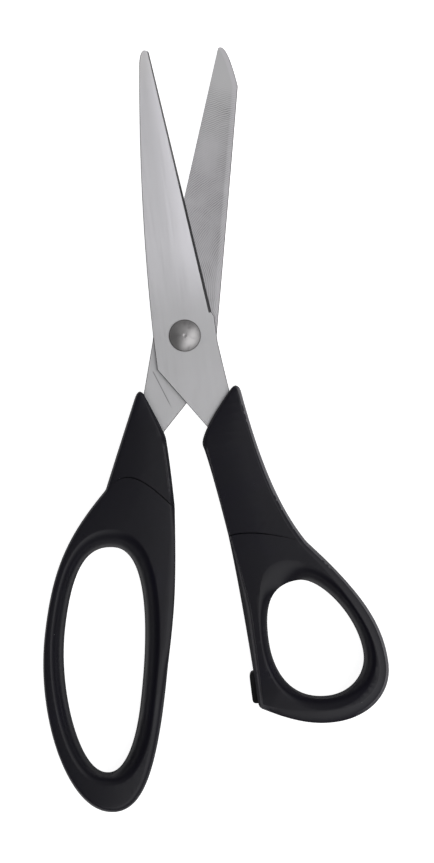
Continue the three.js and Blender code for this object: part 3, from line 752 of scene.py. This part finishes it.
def mark_faces(mesh, half):
    spine, edge = sides[half]
    spots = [vertex.co.copy() for vertex in mesh.vertices]
    lefts = [crossing(spine, spot.y) for spot in spots]
    rights = [crossing(edge, spot.y) for spot in spots]
    faces = [(face.normal.z, face.center.y) for face in mesh.polygons]
    mark(mesh, "from_spine", [spot.x - left for spot, left in zip(spots, lefts)])
    mark(mesh, "towards_edge", [(spot.x - left) / max(right - left, 0.1)
                                for spot, left, right in zip(spots, lefts, rights)])
    mark(mesh, "ground", [look < -LEVEL and y > 0 for look, y in faces], "FACE")
    mark(mesh, "shank_inside", [look < -LEVEL and y < 0 for look, y in faces], "FACE")
    mark(mesh, "cut", [abs(look) < LEVEL for look, _ in faces], "FACE")


drill = bpy.data.meshes.new("drill")
with edited(drill) as shape:
    bmesh.ops.create_cone(shape, cap_ends=True, segments=64, radius1=HOLE_RADIUS,
                          radius2=HOLE_RADIUS, depth=10)
for half, mesh in blade_meshes.items():
    mesh = carved(mesh, drill)
    mark_faces(mesh, half)
    finish_piece(mesh, half, half + "_blade", blade_steel, crease=20)

# %% [markdown]
# ## Turned pieces
#
# The rivet and its washer follow one rule: a profile, turned about the pivot. Blender's Screw
# modifier could do it. A small Geometry Nodes tree does the same with named inputs: it lays a
# grid, reads the profile for each column and turns it by the angle of each row.

# %% Helpers for geometry trees
def grid_of(tree, columns, rows):
    """A grid with the column and the row of each of its points."""
    grid = place(tree, "GeometryNodeMeshGrid", {"Vertices X": columns, "Vertices Y": rows})
    index = result(place(tree, "GeometryNodeInputIndex"))
    row = math_node(tree, "MODULO", index, rows)
    middle = math_node(tree, "ADD", index, 0.5)
    column = math_node(tree, "FLOOR", math_node(tree, "DIVIDE", middle, rows))
    return result(grid, "Mesh"), column, row


def sampled(tree, geometry, kind, name, index):
    """Value of a named attribute, or of the position, at one point of a geometry."""
    if name == "position":
        value = result(place(tree, "GeometryNodeInputPosition"))
    else:
        named = place(tree, "GeometryNodeInputNamedAttribute", {"Name": name}, data_type=kind)
        value = result(named, "Attribute")
    inputs = {"Geometry": geometry, "Value": value, "Index": index}
    return result(place(tree, "GeometryNodeSampleIndex", inputs, data_type=kind, domain="POINT"))


def point_count(tree, geometry):
    counts = place(tree, "GeometryNodeAttributeDomainSize", {"Geometry": geometry})
    return result(counts, "Point Count")


def hand_out(tree, grid, position, material, gives):
    """Moves a grid into its shape, welds its open seam and gives it its material."""
    steps = [("SetPosition", {"Position": position}), ("MergeByDistance", {"Distance": 1e-4}),
             ("SetMaterial", {"Material": material}), ("RealizeInstances", {})]
    for kind, inputs in steps:
        grid = result(place(tree, "GeometryNode" + kind, {"Geometry": grid, **inputs}))
    tree.links.new(grid, gives["Geometry"])

# %% Tree: turned piece
turned_piece, given, gives = new_group(
    "Turned piece", "Geometry", {"Geometry": "Geometry", "Steps": "Int", "Material": "Material"},
    {"Geometry": "Geometry"})
profile = given["Geometry"]
rows = math_node(turned_piece, "ADD", given["Steps"], 1)
grid, column, row = grid_of(turned_piece, point_count(turned_piece, profile), rows)
share = math_node(turned_piece, "DIVIDE", row, given["Steps"])
turn = {
    "Vector": sampled(turned_piece, profile, "FLOAT_VECTOR", "position", column),
    "Axis": (0, 0, 1),
    "Angle": math_node(turned_piece, "MULTIPLY", share, 2 * math.pi),
}
turn = place(turned_piece, "ShaderNodeVectorRotate", turn, rotation_type="AXIS_ANGLE")
hand_out(turned_piece, grid, result(turn), given["Material"], gives)
print("nodes in Turned piece:", len(turned_piece.nodes))

# %% Profiles of the rivet and the washer
HEAD_RADIUS, HEAD_SEAT, DOME, RIM = 4.35, 2.2, 1.25, 0.25
SHANK_RADIUS, TAIL_RADIUS, TAIL_TOP, TAIL_BOTTOM = 2.4, 3.3, -2.85, -3.65
DIMPLE_RADIUS, DIMPLE_DEPTH = 0.5, 0.1
WASHER_TOP, WASHER_BOTTOM, WASHER_RADIUS = -2.2, -2.7, 4.2
TAIL_ROUND, CORNER_ROUND, WASHER_ROUND = 0.35, 0.1, 0.12
DOME_STEPS = 28


def rounded(corner, before, after, radius, steps=4):
    """Points round a corner of a profile."""
    corner = Vector(corner)
    start = corner + (Vector(before) - corner).normalized() * radius
    end = corner + (Vector(after) - corner).normalized() * radius
    return arc(start, corner, end, steps)


def dome_height(radius):
    ball = (HEAD_RADIUS ** 2 + DOME ** 2) / (2 * DOME)
    top = HEAD_SEAT + RIM + DOME
    dimple = DIMPLE_DEPTH * max(0, 1 - (radius / DIMPLE_RADIUS) ** 2)
    return top - ball + math.sqrt(ball ** 2 - radius * radius) - dimple


tail_foot, tail_edge = (TAIL_RADIUS, TAIL_BOTTOM), (TAIL_RADIUS, TAIL_TOP)
head_foot, head_edge = (HEAD_RADIUS, HEAD_SEAT), (HEAD_RADIUS, HEAD_SEAT + RIM)
rivet_profile = [
    (0, TAIL_BOTTOM),
    *rounded(tail_foot, (0, TAIL_BOTTOM), tail_edge, TAIL_ROUND),
    *rounded(tail_edge, tail_foot, (0, TAIL_TOP), CORNER_ROUND, 2),
    (SHANK_RADIUS, TAIL_TOP),
    (SHANK_RADIUS, HEAD_SEAT),
    *rounded(head_foot, (0, HEAD_SEAT), head_edge, CORNER_ROUND, 2),
]
dome_radii = [HEAD_RADIUS * (1 - i / DOME_STEPS) for i in range(DOME_STEPS + 1)]
rivet_profile += [(radius, dome_height(radius)) for radius in dome_radii]
washer_corners = [(HOLE_RADIUS, WASHER_BOTTOM), (WASHER_RADIUS, WASHER_BOTTOM),
                  (WASHER_RADIUS, WASHER_TOP), (HOLE_RADIUS, WASHER_TOP)]
washer_profile = []
for i, corner in enumerate(washer_corners):
    before, after = washer_corners[i - 1], washer_corners[(i + 1) % 4]
    washer_profile += rounded(corner, before, after, WASHER_ROUND, 3)
washer_profile.append(washer_profile[0])
print("profile points:", len(rivet_profile), len(washer_profile))

# %% Rivet and washer
def built_by(tree, mesh, inputs):
    """Runs a mesh through a Geometry Nodes tree, closes open ends and gives a plain mesh."""
    sockets = {item.identifier: inputs[item.name] for item in tree.interface.items_tree
               if item.in_out == "INPUT" and item.name in inputs}
    made = modified(mesh, "NODES", node_group=tree, **sockets)
    with edited(made) as shape:
        bmesh.ops.dissolve_degenerate(shape, dist=1e-5, edges=shape.edges)
        bmesh.ops.holes_fill(shape, edges=[edge for edge in shape.edges if edge.is_boundary])
        bmesh.ops.recalc_face_normals(shape, faces=shape.faces)
    return made


for name, profile in {"pivot_rivet": rivet_profile, "rivet_washer": washer_profile}.items():
    outline = bpy.data.meshes.new(name)
    outline.from_pydata([(radius, 0, z) for radius, z in profile], [], [])
    turned = built_by(turned_piece, outline, {"Steps": 96, "Material": rivet_steel})
    finish_piece(turned, "pivot", name, rivet_steel, crease=28)

# %% [markdown]
# ## Outlines of the handles
#
# The collar and the loop of a handle lie in one outline, so it is drawn once and parted along the
# seam afterwards. Every stretch is one curve: it leaves its start and reaches its end along the
# lines to a corner point, and its fullness says how far it fills that corner. It also carries the
# width of the rounded edge and how flat that edge is.

# %% Curves
def bend(start, corner, end, fullness):
    start, corner, end = Vector(start), Vector(corner), Vector(end)
    return start, start.lerp(corner, fullness), end.lerp(corner, fullness), end


def walk(curve, share):
    """Point and heading at a share of a curve."""
    a, b, c, d = curve
    rest = 1 - share
    point = a * rest ** 3 + 3 * b * rest ** 2 * share + 3 * c * rest * share ** 2 + d * share ** 3
    heading = (b - a) * rest ** 2 + 2 * (c - b) * rest * share + (d - c) * share ** 2
    return point, heading.normalized()


# Counterclockwise from the side of the nose: corner, end, fullness, widths of the edge at start,
# middle and end, its flatness and, where it is not the usual one, its height for each millimetre
# across
OUTLINES = {
    "thumb": [
        ((13, -14.8), (11.3, -15.1), 0.6, (1.1, 0.6, 0.6), 0),
        ((0.3, -27.2), (1.1, -30.35), 0.65, (0.6, 1.1, 1.1), 0),
        ((2.4, -34.7), (4.9, -55.4), 0.6, (1.1, 0.6, 0.6), 0.8),
        ((6.55, -73.085), (7.25, -102.65), 0.6, (0.6, 2.3, 1.2), 1),
        ((19, -109.2), (27.25, -109.2), 0.74, (1.1, 3.0, 3.4), 0.45, 0.29),
        ((43.64, -109.2), (43.64, -95.193), 0.58, (3.4, 2.8, 2.6), 0.6, 0.32),
        ((43.64, -80.64), (26.1, -60.2), 0.735, (2.6, 2.6, 1.8), 0.6, 0.4),
        ((17.2, -46.4), (13.2, -16.7), 0.7, (1.8, 1.5, 1.1), 0.6, 0.7),
    ],
    "finger": [
        ((11.1, -16), (9.9, -16.4), 0.6, (1.1, 0.6, 0.6), 0),
        ((3.1, -25.8), (2.1, -28.2), 0.65, (0.6, 1.1, 1.1), 0),
        ((0.3, -34), (-2.45, -46.6), 0.6, (1.1, 1.1, 1.1), 0.8),
        ((-5.75, -71.192), (-5.55, -90.35), 0.87, (1.1, 2.2, 2.2), 0, 0.19),
        ((-6.5, -130.85), (6.25, -130.85), 0.735, (2.2, 1.8, 1.6), 0, 0.8),
        ((28.55, -130.85), (28.55, -84.788), 0.49, (1.6, 0.9, 0.9), 0),
        ((28.55, -62.231), (16.6, -44.1), 0.77, (0.9, 0.9, 1.1), 0),
        ((15.5, -38.1), (11.45, -17.9), 0.6, (1.1, 1.1, 1.1), 0),
    ],
}
print("stretches:", {half: len(stretches) for half, stretches in OUTLINES.items()})

# %% Stations round an outline
STATION_STEP = 0.6
EDGE_RISE = 1.3  # usual height of a rounded edge, for each millimetre across
LENGTH_STEPS = 16
PLACE_BLEND, WIDTH_BLEND, EDGE_BLEND = 1, 3, 8  # neighbours to average with, on each side


def along(values, share):
    """Value at a share of an evenly spaced row of values."""
    spot = share * (len(values) - 1)
    index = min(int(spot), len(values) - 2)
    return values[index] + (values[index + 1] - values[index]) * (spot - index)


def smoothed(values, reach):
    """Average of each value of a closed run with its neighbours."""
    count, window = len(values), range(-reach, reach + 1)
    return [sum((values[(i + k) % count] for k in window), 0 * values[0]) / len(window)
            for i in range(count)]


def stations(half):
    """Points round a handle: the step across the rounded edge, its width, flatness and height."""
    points, widths, flats, rises = [], [], [], []
    start = OUTLINES[half][-1][1]
    for corner, end, fullness, edge_widths, flat, *rise in OUTLINES[half]:
        curve = bend(start, corner, end, fullness)
        marks = [walk(curve, i / LENGTH_STEPS)[0] for i in range(LENGTH_STEPS + 1)]
        length = sum((after - before).length for before, after in zip(marks, marks[1:]))
        count = round(length / STATION_STEP)
        for share in (i / count for i in range(count)):
            points.append(walk(curve, share)[0])
            widths.append(along(edge_widths, share))
            flats.append(flat)
            rises.append(widths[-1] * (rise[0] if rise else EDGE_RISE))
        start = end
    points, widths = smoothed(points, PLACE_BLEND), smoothed(widths, WIDTH_BLEND)
    ahead = points[1:] + points[:1]
    headings = [(ahead[i] - points[i - 1]).normalized() for i in range(len(points))]
    steps = [Vector((-heading.y, heading.x)) * width for heading, width in zip(headings, widths)]
    return points, steps, widths, smoothed(flats, EDGE_BLEND), smoothed(rises, EDGE_BLEND)


RIMS = {half: stations(half) for half in OUTLINES}
print("stations:", {half: len(points) for half, (points, *_) in RIMS.items()})

# %% [markdown]
# ## Swept skins
#
# A handle follows a rule: at every station round its outline the same cross-section runs up the
# wall and over the rounded edge. The hole with its dished rim follows the same rule round a
# smaller ring. One Geometry Nodes tree builds both from a rail and a section, whose points carry
# the measures as named attributes.

# %% Tree: swept skin
swept_skin, given, gives = new_group(
    "Swept skin", "Geometry",
    {"Geometry": "Geometry", "Section": "Object", "Top": "Float", "Bottom": "Float",
     "Material": "Material"},
    {"Geometry": "Geometry"})
rail = given["Geometry"]
section = place(swept_skin, "GeometryNodeObjectInfo", {"Object": given["Section"]})
section = result(section, "Geometry")
around = point_count(swept_skin, rail)
rows = math_node(swept_skin, "ADD", around, 1)
grid, column, row = grid_of(swept_skin, point_count(swept_skin, section), rows)
station = math_node(swept_skin, "MODULO", row, around)


def of_rail(name, kind="FLOAT"):
    return sampled(swept_skin, rail, kind, name, station)


def of_section(name):
    return sampled(swept_skin, section, "FLOAT", name, column)


flat, upper = of_rail("flat"), of_section("upper")
across = mixed(swept_skin, flat, of_section("across"), of_section("flat_across"))
down = mixed(swept_skin, flat, of_section("down"), of_section("flat_down"))
down = math_node(swept_skin, "MULTIPLY_ADD", of_rail("groove"), of_section("groove"), down)
step = {0: of_rail("step", "FLOAT_VECTOR"), "Scale": across}
step = place(swept_skin, "ShaderNodeVectorMath", step, operation="SCALE")
spot = vector_node(swept_skin, "ADD", of_rail("position", "FLOAT_VECTOR"), result(step))
face = mixed(swept_skin, upper, given["Bottom"], given["Top"])
drop = math_node(swept_skin, "MULTIPLY", of_rail("rise"), down)
height = math_node(swept_skin, "SUBTRACT", face, drop)
upwards = math_node(swept_skin, "MULTIPLY_ADD", upper, 2, -1)
height = math_node(swept_skin, "MULTIPLY", height, upwards)
raised = result(place(swept_skin, "ShaderNodeCombineXYZ", {"Z": height}))
position = vector_node(swept_skin, "ADD", spot, raised)
hand_out(swept_skin, grid, position, given["Material"], gives)
print("nodes in Swept skin:", len(swept_skin.nodes))

# %% Section of the rounded edge
ROUNDING = 8
GROOVE_SHARE = 7 / 8  # fine line where a flat edge meets the face
GROOVE_DEPTH = 0.2


def point_mesh(name, positions, values):
    """Loose points that carry named values."""
    mesh = bpy.data.meshes.new(name)
    mesh.from_pydata(positions, [], [])
    for key, numbers in values.items():
        mark(mesh, key, numbers)
    return mesh


def section_object(name, upper):
    """Loose points of a section: its upper half, led in by the mirror image of it."""
    points = [{**point, "upper": 0} for point in reversed(upper)]
    points += [{**point, "upper": 1} for point in upper]
    values = {key: [point[key] for point in points] for key in points[0]}
    return in_scene(name, point_mesh(name, [(0, 0, 0)] * len(points), values))


def edge_point(share):
    """Place on a quarter ellipse, as shares of its width and height, and on a flat edge."""
    angle = math.pi / 2 * share
    return {"across": 1 - math.cos(angle), "down": 1 - math.sin(angle),
            "flat_across": share, "flat_down": 1 - share,
            "groove": GROOVE_DEPTH * (share == GROOVE_SHARE)}


edge_points = [edge_point(k / ROUNDING) for k in range(ROUNDING + 1)]
edge_section = section_object("edge_section", edge_points)
print("points in the edge section:", len(edge_section.data.vertices))

# %% [markdown]
# ## Holes
#
# Each hole is egg-shaped, with a dish round it that falls from a crest to a lip. The dish could be
# sculpted, but it is easier to keep smooth as a section swept round the ring of the hole. Its
# width and depth change from side to side, and a row of tilts draws its slope.

# %% Section of a dish
# A dish has its width and depth on four sides, and where it is scooped out. Its tilts are in
# degrees, in even steps from the crest to the lip
HOLES = {
    "thumb": {"inner": 12.2, "outer": 37.5, "top": -69.8, "toe": -102.65,
              "bulge": {"inner": 0.445, "outer": 0.68, "top": 0.39, "toe": 0.57},
              "fullness": (0.635, 0.56, 0.43, 0.69),
              "dish": {"inner": (2.2, 2.2), "outer": (3.0, 3.2), "top": (4.2, 4.4),
                       "toe": (2.9, 1.4), "scoop": (2.6, -2.7)},
              "tilts": (17, 25, 33, 40, 46, 50, 54, 58, 64)},
    "finger": {"inner": 0.7, "outer": 23.5, "top": -59.45, "toe": -121.25,
               "bulge": {"inner": 0.67, "outer": 0.38, "top": 0.51, "toe": 0.325},
               "fullness": (0.62, 0.455, 0.7, 0.64),
               "dish": {"inner": (4.3, 4.4), "outer": (3.45, 4.2), "top": (5.2, 4.1),
                        "toe": (2.3, 1.3), "scoop": (0, 0)},
               "tilts": (6, 28, 35, 41, 47, 52, 57, 63, 72)},
}
DISH_ROUNDING = 14
CROWDING = 1.4  # power that draws the points of a dish together at its crest
RUN_ON = 0.02  # how far a dish goes on above the face, as a share of its depth


def dish_section(half):
    """Section from the lip to the crest, added up from its tilts, and a little beyond."""
    shares = [(i / DISH_ROUNDING) ** CROWDING for i in range(DISH_ROUNDING + 1)]
    depths = [0]
    for before, after in zip(shares, shares[1:]):
        tilt = along(HOLES[half]["tilts"], (before + after) / 2)
        depths.append(depths[-1] + (after - before) * math.tan(math.radians(tilt)))
    full = depths[-1]
    shares.insert(0, -RUN_ON * shares[1] / (depths[1] / full))
    depths.insert(0, -RUN_ON * full)
    flat = {"flat_across": 0, "flat_down": 0, "groove": 0}
    points = [{"across": 1 - share, "down": depth / full, **flat}
              for share, depth in zip(shares, depths)]
    return section_object(half + "_dish_section", points[::-1])


print("sides of a dish:", list(HOLES["thumb"]["dish"]))

# %% Rings of the holes
HOLE_STEPS = 60


def hole_ring(hole):
    """Points and headings round an egg-shaped hole, counterclockwise from its inner side."""
    left, right, top, toe, bulge = (hole[key] for key in ("inner", "outer", "top", "toe", "bulge"))
    across = lambda share: left + (right - left) * share
    down = lambda share: top + (toe - top) * share
    ends = [(left, down(bulge["inner"])), (across(bulge["toe"]), toe),
            (right, down(bulge["outer"])), (across(bulge["top"]), top)]
    corners = [(left, toe), (right, toe), (right, top), (left, top)]
    curves = [bend(ends[i], corners[i], ends[(i + 1) % 4], hole["fullness"][i]) for i in range(4)]
    return [walk(curve, i / HOLE_STEPS) for curve in curves for i in range(HOLE_STEPS)]


print("points round a hole:", len(hole_ring(HOLES["thumb"])))

# %% Rails of the dishes
CREST = 0.2  # least flat left between a dish and the rounded edge outside it
SCOOP_WAY = Vector((-0.4, 0.917))  # where the dish of the thumb hole is scooped out farthest
SCOOP_FOCUS = 6  # power that narrows the scoop to that way
DISH_BLEND = 4


def nearest(points):
    """A tree that finds the point nearest to a place."""
    tree = KDTree(len(points))
    for index, point in enumerate(points):
        tree.insert((*point, 0), index)
    tree.balance()
    return tree


def hole_rail(half):
    """Ring of a hole with the width and depth of its dish, kept clear of the rounded edge."""
    dish, (rim_points, _, rim_widths, *_) = HOLES[half]["dish"], RIMS[half]
    rim, ring = nearest(rim_points), hole_ring(HOLES[half])
    ways_out = [Vector((heading.y, -heading.x)) for _, heading in ring]
    widths, depths = [], []
    for (point, _), out in zip(ring, ways_out):
        side, end = dish["inner" if out.x < 0 else "outer"], dish["toe" if out.y < 0 else "top"]
        scooped = max(0, out.dot(SCOOP_WAY)) ** SCOOP_FOCUS
        width, depth = (out.x ** 2 * side[i] + out.y ** 2 * end[i] + scooped * dish["scoop"][i]
                        for i in (0, 1))
        _, index, limb = rim.find((*point, 0))
        widths.append(min(width, limb - rim_widths[index] - CREST))
        depths.append(depth)
    return point_mesh(half + "_hole", [(*point, 0) for point, _ in ring], {
        "step": [out * width for out, width in zip(ways_out, smoothed(widths, DISH_BLEND))],
        "rise": smoothed(depths, DISH_BLEND),
        "flat": [0] * len(ring),
        "groove": [0] * len(ring),
    })

# %% [markdown]
# ## Collars and loops
#
# A handle is swept whole, once at the height of the loop and once at the height of the collar,
# whose front lies a little lower. Booleans then cut the hole and part the two along the seam. The
# parting tool is a prism that spreads near the faces, which breaks the lips of the seam, and
# bulges inside, which leaves a tongue in the gap.

# %% Parting along the seam
HALF_THICKNESS = 5.3
COLLAR_STEP = 0.2
SEAM_GAP = 0.2
FAR = 90
SEAM_STEPS = 48
SEAM_OVERRUN = 5
CLOSED_STEPS, OPENING_STEPS, LEAST_OPENING = 4, 20, 0.1  # of the shift, from the outer end
SEAMS = {
    "thumb": bend((26.1, -60.2), (12.5, -53.4), (4.9, -55.4), 0.6),
    "finger": bend((16.6, -44.1), (10.8, -36.5), (-2.45, -46.6), 0.82),
}
# Height, and how far the seam is shifted there
LIPS = [(-8, 0.12), (-5.4, 0.12), (-5.0, 0), (5.0, 0), (5.4, 0.12), (8, 0.12)]
TONGUE = [(-3.6, 0), (-3.5, -0.17), (3.5, -0.17), (3.6, 0)]
COLLAR_LEVELS = LIPS[:3] + TONGUE + LIPS[3:]
LOOP_LEVELS = [(z, -SEAM_GAP - shift) for z, shift in LIPS]


def pivot_side(half, levels):
    """Everything on the pivot's side of a seam.

    The shift of a level is full at the inner end of the seam and gets smaller towards the outer
    end, where the joint closes.
    """
    run = [walk(SEAMS[half], i / SEAM_STEPS) for i in range(SEAM_STEPS + 1)]
    (first, first_way), (last, last_way) = run[0], run[-1]
    border = [first - SEAM_OVERRUN * first_way, *(point for point, _ in run),
              last + SEAM_OVERRUN * last_way]
    opened = [within((i - CLOSED_STEPS) / OPENING_STEPS, LEAST_OPENING)
              for i in range(len(border))]
    rows = [[(point.x, point.y + shift * share, z) for point, share in zip(border, opened)]
            + [(-FAR, 0, z), (FAR, 0, z)] for z, shift in levels]
    return solid_mesh(half + "_parting", rows)


print("levels of the parting tools:", len(COLLAR_LEVELS), len(LOOP_LEVELS))

# %% Whole handle
def blank(half, top, bottom):
    """A whole handle without its hole, grooved where its edge is nearly flat."""
    points, steps, _, flats, rises = RIMS[half]
    rail = point_mesh(half + "_rim", [(*point, 0) for point in points], {
        "step": steps,
        "rise": rises,
        "flat": flats,
        "groove": [within(5 * flat - 3) for flat in flats],
    })
    return built_by(swept_skin, rail, {
        "Section": edge_section, "Top": top, "Bottom": bottom, "Material": handle_plastic})

# %% [markdown]
# ### Crowned faces
#
# The faces of a moulded handle are not quite flat: they fall a little towards the outline, which
# gives them their soft shading. A cut handle has only a few large faces there, so they are first
# cut into a lattice whose corners can be lowered. Remeshing would do this too, but it would round
# off the seam.

# %% Crowned faces
CROWN, CROWN_REACH = 0.45, 10
LATTICE = 2.5


def crowned(mesh, half):
    """Cuts a piece into a lattice and lowers its faces gently towards the outline."""
    rim = nearest(RIMS[half][0])
    with edited(mesh) as shape:
        large = [face for face in shape.faces if len(face.verts) > 4]
        bmesh.ops.triangulate(shape, faces=large)
        for axis, normal in enumerate(((1, 0, 0), (0, 1, 0))):
            places = [vertex.co[axis] for vertex in shape.verts]
            cut = math.ceil(min(places) / LATTICE) * LATTICE
            while cut < max(places):
                bmesh.ops.bisect_plane(
                    shape, geom=[*shape.verts, *shape.edges, *shape.faces], dist=1e-4,
                    plane_co=[cut * x for x in normal], plane_no=normal)
                cut += LATTICE
        for vertex in shape.verts:
            distance = rim.find((vertex.co.x, vertex.co.y, 0))[2]
            near = max(0, 1 - distance / CROWN_REACH)
            vertex.co.z *= 1 - CROWN / HALF_THICKNESS * near ** 2

# %% [markdown]
# ### Painted highlight on the edges
#
# The rounded edges are painted lighter, a painted highlight for the bright horizon they mirror:
# most on the outer edges of the thumb handle that face the brighter right side, less on the flat
# edges, and hardly on the lips of the holes. A face is on the edge if it is near enough to the
# outline and tilted, so the painted highlight is written on each face and the finish reads it.

# %% Painted highlight on the edges
EDGE_TILT, LIP_TILT, WALL_TILT = 8, 45, 82  # degrees
EDGE_REACH, LIP_REACH = 1.05, 1.0  # in widths of the edge, and in millimetres
BRIGHTEST_STRIP = 0.8  # width of the strip along the outline that is painted lightest
LIP_HIGHLIGHT, LEAST_HIGHLIGHT, SOFT_HIGHLIGHT, FACET_HIGHLIGHT = 0.05, 0.04, 0.1, 0.5


def mark_painted_highlight(mesh, half):
    """Marks the faces of the rounded edge and of the lip of the hole for a painted highlight."""
    points, steps, widths, flats, _ = RIMS[half]
    rim, hole = nearest(points), nearest([point for point, _ in hole_ring(HOLES[half])])
    values = []
    for face in mesh.polygons:
        spot = (face.center.x, face.center.y, 0)
        tilt = math.degrees(math.acos(min(1, abs(face.normal.z))))
        _, index, distance = rim.find(spot)
        width = widths[index]
        facing = -steps[index].x / width
        if distance >= EDGE_REACH * width or not EDGE_TILT < tilt < WALL_TILT:
            on_lip = hole.find(spot)[2] < LIP_REACH and LIP_TILT < tilt < WALL_TILT
            values.append(LIP_HIGHLIGHT * on_lip)
            continue
        # Edges of the thumb handle that face the brighter right side get the strongest painted
        # highlight
        if half == "thumb" and facing > 0:
            highlight_amount = 1.5 * facing - 0.3 if distance < BRIGHTEST_STRIP else SOFT_HIGHLIGHT * facing
        else:
            inner_part = distance > 0.5 * width
            highlight_amount = within(4 * flats[index] - 2) * (FACET_HIGHLIGHT if inner_part else SOFT_HIGHLIGHT)
        values.append(max(LEAST_HIGHLIGHT, highlight_amount))
    mark(mesh, "painted_highlight", values, "FACE")

# %% Collars and loops
front = HALF_THICKNESS - COLLAR_STEP
COLLAR_HEIGHTS = {"thumb": (front, HALF_THICKNESS), "finger": (HALF_THICKNESS, front)}
for half in OUTLINES:
    collar = blank(half, *COLLAR_HEIGHTS[half])
    collar = carved(collar, pivot_side(half, COLLAR_LEVELS), "INTERSECT")
    hole = built_by(swept_skin, hole_rail(half), {
        "Section": dish_section(half), "Top": HALF_THICKNESS, "Bottom": HALF_THICKNESS,
        "Material": handle_plastic})
    loop = carved(blank(half, HALF_THICKNESS, HALF_THICKNESS), hole)
    loop = carved(loop, pivot_side(half, LOOP_LEVELS))
    for name, mesh in {"_collar": collar, "_loop": loop}.items():
        crowned(mesh, half)
        mark_painted_highlight(mesh, half)
        finish_piece(mesh, half, half + name, handle_plastic, crease=18)
for section in [o for o in bpy.data.objects if o.name.endswith("_section")]:
    bpy.data.objects.remove(section)

# %% [markdown]
# ## Stop bumper
#
# A small soft block on the inner side of the thumb loop meets the finger loop when the scissors
# close. Its face is drawn as an outline, pulled up to its thickness and given rounded edges with a
# bevel.

# %% Bumper
BUMPER_FACE, BUMPER_BACK = 5.75, 7.9
BUMPER_BOTTOM, BUMPER_TOP = -101.65, -93.05
BUMPER_HALF = 2.8
BUMPER_ROUND = 1.2
BUMPER_BEVEL = 0.35

shoulder = BUMPER_FACE + BUMPER_ROUND
block = [
    (BUMPER_BACK, BUMPER_BOTTOM),
    (BUMPER_BACK, BUMPER_TOP),
    *arc((shoulder, BUMPER_TOP), (BUMPER_FACE, BUMPER_TOP),
         (BUMPER_FACE, BUMPER_TOP - 2 * BUMPER_ROUND), 8),
    *arc((BUMPER_FACE, BUMPER_BOTTOM + BUMPER_ROUND), (BUMPER_FACE, BUMPER_BOTTOM),
         (shoulder, BUMPER_BOTTOM), 8),
]
levels = [[(*spot, z) for spot in block] for z in (-BUMPER_HALF, BUMPER_HALF)]
bumper_mesh = solid_mesh("stop_bumper", levels)
with edited(bumper_mesh) as shape:
    rims = [e for e in shape.edges if abs(e.verts[0].co.z - e.verts[1].co.z) < 1e-6]
    bmesh.ops.bevel(shape, geom=rims, offset=BUMPER_BEVEL, segments=3, profile=0.5,
                    affect="EDGES")
finish_piece(bumper_mesh, "thumb", "stop_bumper", bumper_rubber)
